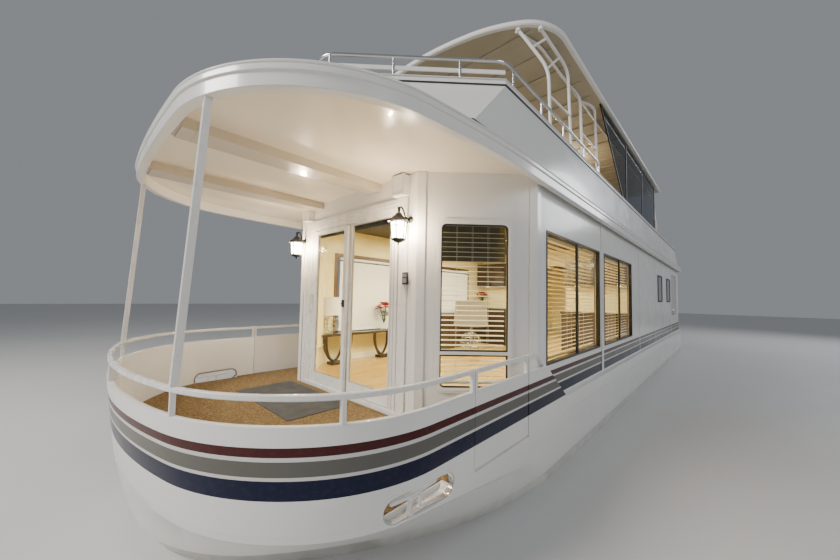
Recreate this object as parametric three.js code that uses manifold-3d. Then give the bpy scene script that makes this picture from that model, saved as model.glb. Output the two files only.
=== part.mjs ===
// Houseboat with a rounded bow cockpit, a full-beam cabin, a roof deck behind a sloped coaming and a hardtop.
// Millimetres. +X runs to the bow, +Y to port, +Z up. Z = 0 is the waterline, Y = 0 the centreline.
import * as THREE from "three";
import { mergeVertices } from "three/addons/utils/BufferGeometryUtils.js";
import Module from "manifold-3d";

const wasm = await Module();
wasm.setup();

// Driving dimensions.
const GAP = 0.3; // left between pieces that touch
const DECK_Z = 600; // cockpit deck over the waterline
const CHINE_Z = -150;
const KEEL_Z = -600;
const STERN_X = -7500;
const FRONT_WALL_X = 6000; // outer face of the cabin's front wall
const AFT_WALL_X = -5100; // aft face of the cabin's aft wall
const WING_X = -7100; // aft end of the cabin's side walls
const ROOF_AFT_X = -7200;
const CABIN_Y = 1930; // outer face of the cabin's side walls
const FRONT_HALF = 1114; // half the front wall, where the 45 degree corner walls begin
const WALL = 60;
const CEILING_Z = 3011;
const ROOF_TOP_Z = 3085;
const RIM_Z = 2905; // lower edge of the roof's rim
const BULWARK_TOP_Z = 1150;
const BULWARK = 36; // thickness
const RAIL_TOP_Z = 1302;
const RAIL = { wide: 30, high: 32, post: 28 };
const GATE_X = [5447, 6295];
const COAMING_KNEE_Z = 3700;
const COAMING_TOP_Z = 3757;
const UPPER_RAIL_Z = 3950;
const HARDTOP_Z = [5030, 5100];
const HARDTOP_AFT_X = -3600;

// Plan outlines, walked from the middle of the front to the straight side. front: reach of the middle;
// each arc: radius, and the bearing in degrees off dead ahead where it ends.
const BOW_PLAN = {
  front: 8029,
  arcs: [{ r: 4067, to: 14.808, steps: 4 }, { r: 1340, to: 50, steps: 6 }, { r: 1102, to: 90, steps: 6 }],
};
const ROOF_PLAN = {
  front: 7886,
  arcs: [{ r: 16477, to: 2.773, steps: 2 }, { r: 1217, to: 83.227, steps: 13 }, { r: 12000, to: 90, steps: 3 }],
};
const HARDTOP_PLAN = {
  front: 5130,
  arcs: [{ r: 4100, to: 14.1, steps: 3 }, { r: 1890, to: 32.3, steps: 3 }, { r: 709, to: 90, steps: 7 }],
};

// The point of a plan at a bearing, off millimetres outside it.
function planPoint(plan, bearing, off = 0) {
  const rad = Math.PI / 180;
  let centre = [plan.front, 0];
  let from = 0;
  for (const arc of plan.arcs) {
    centre = [centre[0] - arc.r * Math.cos(from * rad), centre[1] - arc.r * Math.sin(from * rad)];
    if (bearing <= arc.to) {
      const r = arc.r + off;
      return [centre[0] + r * Math.cos(bearing * rad), centre[1] + r * Math.sin(bearing * rad)];
    }
    centre = [centre[0] + arc.r * Math.cos(arc.to * rad), centre[1] + arc.r * Math.sin(arc.to * rad)];
    from = arc.to;
  }
  return centre;
}

// Half outline of a bow from the straight side's start to the centreline.
function bowHalf(plan, off = 0) {
  const points = [planPoint(plan, 0, off)];
  let from = 0;
  for (const arc of plan.arcs) {
    for (let i = 1; i <= arc.steps; i++) points.push(planPoint(plan, from + ((arc.to - from) * i) / arc.steps, off));
    from = arc.to;
  }
  return points.reverse();
}

const sideOf = (plan) => planPoint(plan, 90)[1];

// Whole outline from the aft port corner round the bow to the aft starboard corner.
function outline(plan, off, aftX) {
  const half = bowHalf(plan, off);
  const port = [[aftX, half[0][1]], ...half];
  const starboard = port.slice(0, -1).reverse().map(([x, y]) => [x, -y]);
  return [...port, ...starboard];
}

// The bow leans in as it goes down: how far the front lies aft of the plan at a height.
const RAKE = { deck: 65, below: 0.2 };
const rakeIn = (z) =>
  z > DECK_Z
    ? (RAKE.deck * Math.max(0, BULWARK_TOP_Z - z)) / (BULWARK_TOP_Z - DECK_Z)
    : RAKE.deck + RAKE.below * (DECK_Z - z);
const bowPlanAt = (z) => ({ ...BOW_PLAN, front: BOW_PLAN.front - rakeIn(z) });

// A rounder plan for the hull's lower levels: nose radius to a bearing, then one arc to the side.
function lowPlan(side, front, r, to) {
  const share = Math.sin((to * Math.PI) / 180);
  return { front, arcs: [{ r, to, steps: 8 }, { r: (side - r * share) / (1 - share), to: 90, steps: 8 }] };
}

// A closed triangle mesh as a solid, turned outwards.
function solid(positions, triangles) {
  let volume = 0;
  const at = (i) => new THREE.Vector3(...positions[i]);
  for (const [a, b, c] of triangles) volume += at(a).dot(at(b).cross(at(c)));
  const faces = volume < 0 ? triangles.map(([a, b, c]) => [a, c, b]) : triangles;
  const geometry = new THREE.BufferGeometry();
  geometry.setAttribute("position", new THREE.Float32BufferAttribute(positions.flat(), 3));
  geometry.setIndex(faces.flat());
  return fromGeometry(geometry);
}

function fromGeometry(source) {
  const geometry = source.clone();
  geometry.deleteAttribute("normal");
  geometry.deleteAttribute("uv");
  const merged = mergeVertices(geometry, 1e-3);
  return new wasm.Manifold(
    new wasm.Mesh({
      numProp: 3,
      vertProperties: merged.attributes.position.array,
      triVerts: new Uint32Array(merged.index.array),
    }),
  );
}

// Loops with the same count joined in order, the first and last closed flat.
function loft(loops) {
  const n = loops[0].length;
  const positions = loops.flat();
  const triangles = [];
  for (let k = 0; k + 1 < loops.length; k++) {
    for (let i = 0; i < n; i++) {
      const j = (i + 1) % n;
      triangles.push([k * n + i, k * n + j, (k + 1) * n + j]);
      triangles.push([k * n + i, (k + 1) * n + j, (k + 1) * n + i]);
    }
  }
  const flat = (loop) => {
    const [o, u, w] = axesOf(loop);
    return loop.map((p) => {
      const d = new THREE.Vector3(...p).sub(o);
      return new THREE.Vector2(d.dot(u), d.dot(w));
    });
  };
  for (const [base, loop, turn] of [[0, loops[0], true], [(loops.length - 1) * n, loops.at(-1), false]]) {
    const points = flat(loop);
    const forward = !THREE.ShapeUtils.isClockWise(points);
    for (const [a, b, c] of THREE.ShapeUtils.triangulateShape(points, [])) {
      const face = [base + a, base + b, base + c];
      if (turn === forward) face.reverse();
      triangles.push(face);
    }
  }
  return solid(positions, orient(positions, triangles));
}

// Neighbouring faces are made to agree, whatever way the caps came out.
function orient(positions, triangles) {
  const edge = new Map();
  triangles.forEach((t, f) => {
    for (let k = 0; k < 3; k++) {
      const key = [t[k], t[(k + 1) % 3]].sort((p, q) => p - q).join();
      edge.set(key, [...(edge.get(key) ?? []), f]);
    }
  });
  const out = triangles.map((t) => [...t]);
  const seen = new Set([0]);
  const queue = [0];
  while (queue.length) {
    const f = queue.pop();
    for (let k = 0; k < 3; k++) {
      const [a, b] = [out[f][k], out[f][(k + 1) % 3]];
      for (const g of edge.get([a, b].sort((p, q) => p - q).join())) {
        if (seen.has(g)) continue;
        const same = [0, 1, 2].some((m) => out[g][m] === a && out[g][(m + 1) % 3] === b);
        if (same) out[g].reverse();
        seen.add(g);
        queue.push(g);
      }
    }
  }
  return out;
}

function axesOf(loop) {
  const o = new THREE.Vector3(...loop[0]);
  const normal = new THREE.Vector3();
  for (let i = 0; i < loop.length; i++) {
    const a = new THREE.Vector3(...loop[i]).sub(o);
    const b = new THREE.Vector3(...loop[(i + 1) % loop.length]).sub(o);
    normal.add(a.cross(b));
  }
  normal.normalize();
  const u = Math.abs(normal.z) < 0.9 ? new THREE.Vector3(0, 0, 1) : new THREE.Vector3(1, 0, 0);
  u.sub(normal.clone().multiplyScalar(u.dot(normal))).normalize();
  return [o, u, new THREE.Vector3().crossVectors(normal, u)];
}

const atZ = (points, z) => points.map(([x, y]) => [x, y, z]);
const prism = (points, z0, z1) => loft([atZ(points, z0), atZ(points, z1)]);
const box = (x0, x1, y0, y1, z0, z1) =>
  prism([[x0, y0], [x1, y0], [x1, y1], [x0, y1]], z0, z1);
const mirrorY = (s) => s.mirror([0, 1, 0]);
const join = (...solids) => solids.reduce((a, b) => a.add(b));

// A wall that follows an outline: profile is [off, z] pairs round its section, path gives the outline at off.
function band(path, profile, closed) {
  const rows = profile.map(([off, z]) => atZ(path(off, z), z));
  const n = rows[0].length;
  const m = rows.length;
  const positions = rows.flat();
  const triangles = [];
  const last = closed ? n : n - 1;
  for (let k = 0; k < m; k++) {
    const l = (k + 1) % m;
    for (let i = 0; i < last; i++) {
      const j = (i + 1) % n;
      triangles.push([k * n + i, k * n + j, l * n + j]);
      triangles.push([k * n + i, l * n + j, l * n + i]);
    }
  }
  if (!closed) {
    const points = profile.map(([off, z]) => new THREE.Vector2(off, z));
    for (const end of [0, n - 1]) {
      for (const [a, b, c] of THREE.ShapeUtils.triangulateShape(points, [])) {
        triangles.push([a * n + end, b * n + end, c * n + end]);
      }
    }
  }
  return solid(positions, orient(positions, triangles));
}

const rectProfile = (o0, o1, z0, z1) => [[o0, z0], [o1, z0], [o1, z1], [o0, z1]];

// A square bar between two points, its sides along the row axes.
function post(a, b, w, d = w) {
  const ring = ([x, y, z]) => [
    [x - w / 2, y - d / 2, z],
    [x + w / 2, y - d / 2, z],
    [x + w / 2, y + d / 2, z],
    [x - w / 2, y + d / 2, z],
  ];
  return loft([ring(a), ring(b)]);
}

// A round tube along a line of points with eased bends.
function tube(points, r, sides = 10, bend = 60, closed = false) {
  const v = points.map((p) => new THREE.Vector3(...p));
  const path = new THREE.CurvePath();
  const n = v.length;
  const corner = (i) => {
    const here = v[i];
    const before = v[(i - 1 + n) % n].clone().sub(here);
    const after = v[(i + 1) % n].clone().sub(here);
    const cut = Math.min(bend, before.length() * 0.45, after.length() * 0.45);
    return [here.clone().add(before.setLength(cut)), here, here.clone().add(after.setLength(cut))];
  };
  let start = closed ? corner(0)[2] : v[0];
  for (let i = 1; i < (closed ? n + 1 : n - 1); i++) {
    const [a, mid, b] = corner(i % n);
    path.add(new THREE.LineCurve3(start, a));
    path.add(new THREE.QuadraticBezierCurve3(a, mid, b));
    start = b;
  }
  if (!closed) path.add(new THREE.LineCurve3(start, v[n - 1]));
  const stops = [];
  for (const curve of path.curves) {
    const steps = curve.isQuadraticBezierCurve3 ? 4 : 1;
    for (let s = 0; s < steps; s++) stops.push(curve.getPoint(s / steps));
  }
  if (!closed) stops.push(v[n - 1]);
  return sweepRound(stops, r, sides, closed);
}

// Rings of a round section carried along the stops without twist.
function sweepRound(stops, r, sides, closed) {
  const n = stops.length;
  const tangent = (i) => {
    const a = closed ? stops[(i - 1 + n) % n] : stops[Math.max(0, i - 1)];
    const b = closed ? stops[(i + 1) % n] : stops[Math.min(n - 1, i + 1)];
    return b.clone().sub(a).normalize();
  };
  let normal = new THREE.Vector3(0, 0, 1);
  if (Math.abs(tangent(0).z) > 0.9) normal = new THREE.Vector3(0, 1, 0);
  const positions = [];
  for (let i = 0; i < n; i++) {
    const t = tangent(i);
    normal = normal.sub(t.clone().multiplyScalar(normal.dot(t))).normalize();
    const side = new THREE.Vector3().crossVectors(t, normal);
    for (let k = 0; k < sides; k++) {
      const a = (2 * Math.PI * k) / sides;
      const p = stops[i].clone();
      p.add(normal.clone().multiplyScalar(r * Math.cos(a)));
      p.add(side.clone().multiplyScalar(r * Math.sin(a)));
      positions.push(p.toArray());
    }
  }
  const triangles = [];
  for (let i = 0; i < (closed ? n : n - 1); i++) {
    const j = (i + 1) % n;
    for (let k = 0; k < sides; k++) {
      const l = (k + 1) % sides;
      triangles.push([i * sides + k, i * sides + l, j * sides + l]);
      triangles.push([i * sides + k, j * sides + l, j * sides + k]);
    }
  }
  if (!closed) {
    for (let k = 1; k + 1 < sides; k++) {
      triangles.push([0, k + 1, k]);
      triangles.push([(n - 1) * sides, (n - 1) * sides + k, (n - 1) * sides + k + 1]);
    }
  }
  return solid(positions, orient(positions, triangles));
}

// A round bar between two points.
const rod = (a, b, r, sides = 12) =>
  sweepRound([new THREE.Vector3(...a), new THREE.Vector3(...b)], r, sides, false);

const group = new THREE.Group();
group.name = "houseboat";

function piece(name, made, colour) {
  const mesh = made.getMesh();
  const geometry = new THREE.BufferGeometry();
  geometry.setAttribute("position", new THREE.BufferAttribute(new Float32Array(mesh.vertProperties), 3));
  geometry.setIndex(new THREE.BufferAttribute(new Uint32Array(mesh.triVerts), 1));
  const node = new THREE.Mesh(geometry, new THREE.MeshStandardMaterial({ color: colour }));
  node.name = name;
  group.add(node);
}

function pair(name, made, colour) {
  piece(`${name}_port`, made, colour);
  piece(`${name}_starboard`, mirrorY(made), colour);
}

const WHITE = 0xe9e6df;
const BLACK = 0x1a1a1c;
const GLASS = 0x9fb4bd;
const WOOD = 0xb98a4e;
const STEEL = 0xc9ccd0;

// Hull. Levels: height, plan, stern.
const HULL_LEVELS = [
  { z: KEEL_Z, plan: lowPlan(60, 5200, 50, 50), aft: STERN_X + 500 },
  { z: CHINE_Z, plan: lowPlan(1890, 7650, 1150, 50), aft: STERN_X },
  { z: 120, plan: lowPlan(1945, 7815, 1350, 50), aft: STERN_X },
  { z: 145, plan: lowPlan(1962, 7845, 1400, 50), aft: STERN_X },
  { z: 380, plan: lowPlan(1976, 7915, 1650, 50), aft: STERN_X },
  { z: 560, plan: bowPlanAt(560), aft: STERN_X },
  { z: DECK_Z, plan: bowPlanAt(DECK_Z), aft: STERN_X },
];
const PROP_Y = 900;
const PROP_Z = -680;
const PROP_X = -6500;
const RUDDER_X = -7000;
const SKEG = { x0: -6200, x1: -5300, half: 55, bottom: -760 };
const WELL = { x0: -7050, x1: -5350, half: 1250, floor: -230 };
const hullLoops = HULL_LEVELS.map((l) => atZ(outline(l.plan, 0, l.aft), l.z));
let hull = loft(hullLoops);
const skegSide = [
  [SKEG.x0, SKEG.bottom],
  [SKEG.x1 - 300, SKEG.bottom],
  [SKEG.x1 + 500, -330],
  [SKEG.x0, -330],
];
for (const y of [-PROP_Y, PROP_Y]) {
  const skeg = loft([-1, 1].map((s) => skegSide.map(([x, z]) => [x, y + s * SKEG.half, z])));
  hull = hull.add(skeg);
  hull = hull.subtract(rod([SKEG.x0 - 20, y, PROP_Z], [SKEG.x0 + 160, y, PROP_Z], 31, 20));
  hull = hull.subtract(rod([RUDDER_X, y, -520], [RUDDER_X, y, -300], 31, 20));
}
hull = hull.subtract(box(WELL.x0, WELL.x1, -WELL.half, WELL.half, WELL.floor, DECK_Z + 50));

// Hawse openings, cut through the bulwark and into the deck's edge below it.
const HAWSE = { x0: 6528, x1: 7066, z0: 568, z1: 716, y: [1885, 2300] };
const hawseR = (HAWSE.z1 - HAWSE.z0) / 2;
const hawseSide = [];
for (let i = 0; i < 16; i++) {
  const a = (2 * Math.PI * (i + 0.5)) / 16;
  const end = Math.cos(a) > 0 ? HAWSE.x1 - hawseR : HAWSE.x0 + hawseR;
  hawseSide.push([end + hawseR * Math.cos(a), HAWSE.z0 + hawseR + hawseR * Math.sin(a)]);
}
const hawseFloor = Math.min(...hawseSide.map(([, z]) => z));
const hawses = [-1, 1].map((s) => loft(HAWSE.y.map((y) => hawseSide.map(([x, z]) => [x, y * s, z]))));
for (const hawse of hawses) hull = hull.subtract(hawse);
piece("hull", hull, WHITE);

// Engines stand in the well under the aft deck.
const engine = box(-6950, -5850, 300, 950, WELL.floor + GAP, 520);
pair("engine", engine, 0x8a8d90);

// Propeller: hub with its shaft, and blades from a small table of outline points.
const BLADES = 4;
const BLADE_TIP = 220;
const HUB_R = 52;
const bladeOutline = [[-30, 30], [-75, 110], [-70, 175], [-20, BLADE_TIP], [40, 205], [70, 150], [30, 30]];
function propeller(y) {
  let made = join(
    rod([PROP_X - 80, y, PROP_Z], [PROP_X + 70, y, PROP_Z], HUB_R, 18),
    rod([PROP_X, y, PROP_Z], [SKEG.x0 + 150, y, PROP_Z], 25, 14),
  );
  for (let i = 0; i < BLADES; i++) {
    const shape = new THREE.Shape(bladeOutline.map(([a, b]) => new THREE.Vector2(a, b)));
    const blade = new THREE.ExtrudeGeometry(shape, { depth: 14, bevelEnabled: false });
    blade.translate(0, 0, -7);
    blade.rotateY(Math.PI / 2 - 0.9);
    blade.rotateX((2 * Math.PI * i) / BLADES + Math.PI / 4);
    blade.translate(PROP_X, y, PROP_Z);
    made = made.add(fromGeometry(blade));
  }
  return made;
}
pair("propeller", propeller(PROP_Y), 0xb08d57);

const rudderSide = [[-7250, -880], [-6900, -880], [-6880, -480], [-7220, -480]];
const rudder = join(
  loft([-18, 18].map((d) => rudderSide.map(([x, z]) => [x, PROP_Y + d, z]))),
  rod([RUDDER_X, PROP_Y, -700], [RUDDER_X, PROP_Y, -320], 25, 16),
);
pair("rudder", rudder, 0x9aa0a4);

piece(
  "swim_platform",
  join(
    box(-8400, STERN_X - 40, -1700, 1700, 210, 270),
    box(-8000, STERN_X - GAP, -1300, -1220, 60, 210),
    box(-8000, STERN_X - GAP, 1220, 1300, 60, 210),
    box(STERN_X - 60, STERN_X - GAP, -1700, 1700, 150, 270),
  ),
  WHITE,
);

// Bow bulwark, the gates and the bulwark's aft ends.
const cockpitFloor = DECK_Z + GAP;
const side = sideOf(BOW_PLAN);
let bulwark = band(
  (off, z) => outline(bowPlanAt(z), off, GATE_X[1] + GAP),
  rectProfile(-BULWARK, 0, cockpitFloor, BULWARK_TOP_Z),
  false,
);
for (const hawse of hawses) bulwark = bulwark.subtract(hawse);
piece("bow_bulwark", bulwark, WHITE);

// Rail: flat-sided tube flush with the bulwark's face, on short posts set out by their bearing on the plan.
const railZ = [RAIL_TOP_Z - RAIL.high, RAIL_TOP_Z];
const railY = [side - RAIL.wide, side];
const railRun = (x0, x1) => box(x0, x1, ...railY, ...railZ);
const postY = [side - RAIL.wide + 1, side - 1];
const railPost = (x0, x1) => box(x0, x1, ...postY, BULWARK_TOP_Z - 5, railZ[0] + 5);
const POST_BEARINGS = [18.67, 61.3];
let bowRail = band(
  (off) => outline(BOW_PLAN, off, GATE_X[1] + GAP),
  rectProfile(-RAIL.wide, 0, ...railZ),
  false,
);
const railPosts = [
  [GATE_X[1] + RAIL.post / 2 + GAP, side - RAIL.wide / 2],
  ...POST_BEARINGS.map((bearing) => planPoint(BOW_PLAN, bearing, -RAIL.wide / 2)),
];
for (const [x, y] of railPosts) {
  for (const s of [-1, 1]) {
    const ends = [BULWARK_TOP_Z + GAP, railZ[0] + 5].map((z) => [x, y * s, z]);
    bowRail = bowRail.add(post(...ends, RAIL.post));
  }
}
const noseX = BOW_PLAN.front - RAIL.wide;
bowRail = bowRail.add(post([noseX, 0, BULWARK_TOP_Z + GAP], [noseX, 0, railZ[0] + 5], 56, 40));
piece("bow_rail", bowRail, WHITE);

const gateY = [side - BULWARK, side];
const GATE_CLEAR = { hinge: 6, free: 14, floor: 20 };
const gateX = [GATE_X[0] + GATE_CLEAR.free, GATE_X[1] - GATE_CLEAR.hinge];
const gate = join(
  box(gateX[0], gateX[1], gateY[0], gateY[1], cockpitFloor + GATE_CLEAR.floor, BULWARK_TOP_Z),
  railRun(gateX[0], gateX[1]),
  railPost(gateX[0], gateX[0] + RAIL.post),
  railPost(gateX[1] - RAIL.post, gateX[1]),
);
pair("gate", gate, WHITE);

// Gunwale: the bulwark's aft end slopes down to a ledge that runs along the cabin side to the stern.
const LEDGE = { aft: STERN_X, top: 760, slope: 12, inner: CABIN_Y + GAP };
const AFT_SLOPE = { top: [5257, RAIL_TOP_Z], foot: [4515, LEDGE.top] };
const slopeAt = (z) => {
  const t = (z - AFT_SLOPE.foot[1]) / (AFT_SLOPE.top[1] - AFT_SLOPE.foot[1]);
  return AFT_SLOPE.foot[0] + t * (AFT_SLOPE.top[0] - AFT_SLOPE.foot[0]);
};
const aftSide = [
  [AFT_SLOPE.foot[0], cockpitFloor],
  [GATE_X[0], cockpitFloor],
  [GATE_X[0], BULWARK_TOP_Z],
  [slopeAt(BULWARK_TOP_Z), BULWARK_TOP_Z],
  AFT_SLOPE.foot,
];
const ledgeEnd = [
  [LEDGE.inner, cockpitFloor],
  [gateY[1], cockpitFloor],
  [gateY[1], LEDGE.top - 8],
  [gateY[1] - 8, LEDGE.top],
  [LEDGE.inner, LEDGE.top + LEDGE.slope],
];
const barFoot = [slopeAt(BULWARK_TOP_Z), BULWARK_TOP_Z - 5];
const gunwale = join(
  loft([LEDGE.aft, AFT_SLOPE.foot[0] + 60].map((x) => ledgeEnd.map(([y, z]) => [x, y, z]))),
  loft(gateY.map((y) => aftSide.map(([x, z]) => [x, y, z]))),
  railRun(AFT_SLOPE.top[0] - 5, GATE_X[0]),
  railPost(GATE_X[0] - RAIL.post, GATE_X[0]),
  loft(
    postY.map((y) => [
      [AFT_SLOPE.top[0], y, RAIL_TOP_Z],
      [AFT_SLOPE.top[0] + 50, y, RAIL_TOP_Z - 2],
      [barFoot[0] + 50, y, barFoot[1]],
      [barFoot[0] + 2, y, barFoot[1]],
    ]),
  ),
);
pair("gunwale", gunwale, WHITE);

// Posts that hold the roof's front, leaning in as they rise.
pair(
  "roof_post",
  loft(
    [[7852, 1121, RAIL_TOP_Z + GAP], [7770, 1137, RIM_Z - GAP]].map(([x, y, z]) => [
      [x - 19, y - 19, z],
      [x + 19, y - 19, z],
      [x + 19, y + 19, z],
      [x - 19, y + 19, z],
    ]),
  ),
  WHITE,
);

// Mooring cleats in the hawse openings.
const CLEAT = { x: [6655, 7005], legs: [6785, 6880], y: 1930, top: 668, r: 15 };
const cleat = join(
  tube([[CLEAT.x[0], CLEAT.y, CLEAT.top + 8], [CLEAT.legs[0], CLEAT.y, CLEAT.top], [CLEAT.legs[1], CLEAT.y, CLEAT.top],
    [CLEAT.x[1], CLEAT.y - 10, CLEAT.top + 8]], CLEAT.r, 12),
  ...CLEAT.legs.map((x) => rod([x, CLEAT.y, hawseFloor + GAP], [x, CLEAT.y, CLEAT.top], 13, 10)),
);
pair("bow_cleat", cleat, 0xf2f0ea);

// Cockpit carpet, door mat, cabin sole, aft deck.
const CARPET_Z = [DECK_Z + GAP, DECK_Z + 6.6];
const cockpit = outline(bowPlanAt(DECK_Z), -BULWARK - 8, FRONT_WALL_X + 4);
const carpetSide = side - BULWARK - 8;
const cockpitSides = prism(
  [[5204, carpetSide], [5204, 1936], [6004, 1118], [6004, carpetSide]],
  CARPET_Z[0],
  CARPET_Z[1],
);
const carpetNotch = box(HAWSE.x0 - 10, HAWSE.x1 + 10, HAWSE.y[0] - 10, HAWSE.y[1], DECK_Z - 10, DECK_Z + 50);
const carpet = join(prism(cockpit, ...CARPET_Z), cockpitSides, mirrorY(cockpitSides));
piece("deck_carpet", carpet.subtract(carpetNotch).subtract(mirrorY(carpetNotch)), 0xb3834f);
piece("door_mat", box(6090, 6790, -1150, 240, CARPET_Z[1] + GAP, CARPET_Z[1] + 9), 0x5a5c60);

const SOLE_Z = [DECK_Z + GAP, DECK_Z + 20];
const soleInside = WALL + 2;
const sole = [
  [AFT_WALL_X + soleInside, CABIN_Y - soleInside],
  [5155, CABIN_Y - soleInside],
  [FRONT_WALL_X - 85, FRONT_HALF - 40],
];
piece(
  "cabin_sole",
  prism([...sole, ...[...sole].reverse().map(([x, y]) => [x, -y])], ...SOLE_Z),
  WOOD,
);
piece("aft_deck", box(STERN_X + 20, AFT_WALL_X - 4, -1820, 1820, DECK_Z + GAP, DECK_Z + 20), 0xd8d4c8);

// Stern rails leave the middle open to the swim platform; a ladder climbs to the roof deck.
const STERN_RAIL = { x: -7420, side: 1770, fore: -7150, gate: 420, top: 1500, mid: 1060, foot: DECK_Z + 20 + GAP };
const sternCorner = [STERN_RAIL.x, STERN_RAIL.side];
const sternEnds = [[STERN_RAIL.fore, STERN_RAIL.side], sternCorner, [STERN_RAIL.x, STERN_RAIL.gate]];
let sternRail = tube(
  [
    [...sternEnds[0], STERN_RAIL.foot],
    ...atZ(sternEnds, STERN_RAIL.top),
    [...sternEnds[2], STERN_RAIL.foot],
  ],
  19,
);
sternRail = sternRail.add(tube(atZ(sternEnds, STERN_RAIL.mid), 13, 8));
for (const y of [STERN_RAIL.side, 1095]) {
  const x = y === STERN_RAIL.side ? STERN_RAIL.x + 15 : STERN_RAIL.x;
  sternRail = sternRail.add(rod([x, y === STERN_RAIL.side ? y - 15 : y, STERN_RAIL.foot], [x, y, STERN_RAIL.top], 14, 8));
}
pair("stern_rail", sternRail, STEEL);

const LADDER = { y: [820, 1220], foot: [-7340, DECK_Z + 21], head: [-7268, 3120], rise: 280, top: 3700 };
const ladderX = (z) => {
  const t = (z - LADDER.foot[1]) / (LADDER.head[1] - LADDER.foot[1]);
  return LADDER.foot[0] + t * (LADDER.head[0] - LADDER.foot[0]);
};
const ladderSide = (y) =>
  tube([[LADDER.foot[0], y, LADDER.foot[1]], [ladderX(LADDER.top), y, LADDER.top], [-6945, y, LADDER.top - 60],
    [-6945, y, ROOF_TOP_Z + GAP]], 19, 10, 120);
let ladder = join(...LADDER.y.map(ladderSide));
for (let z = 850; z < 3100; z += LADDER.rise) {
  ladder = ladder.add(box(ladderX(z) - 35, ladderX(z) + 35, LADDER.y[0], LADDER.y[1], z - 14, z + 14));
}
piece("roof_ladder", ladder, STEEL);

// Cabin walls. Openings: [low, high] along the wall and [low, high] in height.
const WALL_Z = [DECK_Z + GAP, CEILING_Z - GAP];
const FRONT_WALL = 80;
const DOOR = { y: [-920, 890], z: [625, 2710] };
const frontInner = FRONT_HALF + FRONT_WALL - WALL * Math.SQRT2 - 1;
let frontWall = prism(
  [
    [FRONT_WALL_X, -FRONT_HALF + 1],
    [FRONT_WALL_X, FRONT_HALF - 1],
    [FRONT_WALL_X - FRONT_WALL, frontInner],
    [FRONT_WALL_X - FRONT_WALL, -frontInner],
  ],
  ...WALL_Z,
);
frontWall = frontWall.subtract(
  box(FRONT_WALL_X - 200, FRONT_WALL_X + 100, DOOR.y[0] - GAP, DOOR.y[1] + GAP, DOOR.z[0] - GAP, DOOR.z[1] + GAP),
);
piece("front_wall", frontWall, WHITE);

// Corner walls stand at 45 degrees between the front wall and the sides.
const CORNER_LENGTH = Math.SQRT2 * (CABIN_Y - FRONT_HALF);
const cornerAt = (along, depth) => [
  FRONT_WALL_X - (along + depth) / Math.SQRT2,
  FRONT_HALF + (along - depth) / Math.SQRT2,
];
const cornerBox = (a0, a1, d0, d1, z0, z1) =>
  prism([cornerAt(a0, d0), cornerAt(a1, d0), cornerAt(a1, d1), cornerAt(a0, d1)], z0, z1);
const CORNER_WINDOW = { along: [228, 878], z: [955, 2505] };
let cornerWall = prism(
  [cornerAt(GAP, 0), cornerAt(CORNER_LENGTH - GAP, 0), cornerAt(CORNER_LENGTH - 26, WALL), cornerAt(54, WALL)],
  ...WALL_Z,
);
cornerWall = cornerWall.subtract(cornerBox(...CORNER_WINDOW.along, -50, 150, ...CORNER_WINDOW.z));
pair("corner_wall", cornerWall, WHITE);
pair(
  "corner_glass",
  cornerBox(
    CORNER_WINDOW.along[0] + GAP,
    CORNER_WINDOW.along[1] - GAP,
    20,
    28,
    CORNER_WINDOW.z[0] + GAP,
    CORNER_WINDOW.z[1] - GAP,
  ),
  GLASS,
);

// Side openings: aft edge, fore edge, sill, head; the last is the cockpit's open side.
const SIDE_WINDOWS = [
  { name: "side_glass_fore", x: [3050, 4940], z: [1140, 2500] },
  { name: "side_glass_mid", x: [900, 2800], z: [1140, 2500] },
];
const AFT_OPENING = { x: [-6600, -5160], z: [1350, 2700] };
const sideX = [WING_X, FRONT_WALL_X - (CABIN_Y - FRONT_HALF) - 1];
let sideWall = prism(
  [
    [sideX[0], CABIN_Y - WALL],
    [sideX[1] - 26, CABIN_Y - WALL],
    [sideX[1], CABIN_Y],
    [sideX[0], CABIN_Y],
  ],
  ...WALL_Z,
);
for (const w of [...SIDE_WINDOWS, AFT_OPENING]) {
  sideWall = sideWall.subtract(box(w.x[0], w.x[1], CABIN_Y - 200, CABIN_Y + 100, w.z[0], w.z[1]));
}
pair("side_wall", sideWall, WHITE);
for (const w of SIDE_WINDOWS) {
  pair(
    w.name,
    box(w.x[0] + GAP, w.x[1] - GAP, CABIN_Y - 30, CABIN_Y - 22, w.z[0] + GAP, w.z[1] - GAP),
    GLASS,
  );
}

const AFT_DOOR = { y: [150, 850], z: [640, 2590] };
let aftWall = box(AFT_WALL_X, AFT_WALL_X + WALL, -CABIN_Y + WALL + GAP, CABIN_Y - WALL - GAP, ...WALL_Z);
aftWall = aftWall.subtract(
  box(AFT_WALL_X - 50, AFT_WALL_X + 150, AFT_DOOR.y[0], AFT_DOOR.y[1], AFT_DOOR.z[0], AFT_DOOR.z[1]),
);
piece("aft_wall", aftWall, WHITE);
const doorX = [AFT_WALL_X - 2, AFT_WALL_X + 38];
const PANE = { y: [270, 730], z: [1500, 2400] };
piece(
  "aft_door",
  box(...doorX, AFT_DOOR.y[0] + 8, AFT_DOOR.y[1] - 6, AFT_DOOR.z[0] + 6, AFT_DOOR.z[1] - 6).subtract(
    box(doorX[0] - 50, doorX[1] + 50, ...PANE.y, ...PANE.z),
  ),
  WHITE,
);
piece(
  "aft_door_glass",
  box(doorX[0] + 16, doorX[0] + 24, PANE.y[0] + GAP, PANE.y[1] - GAP, PANE.z[0] + GAP, PANE.z[1] - GAP),
  GLASS,
);

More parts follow.
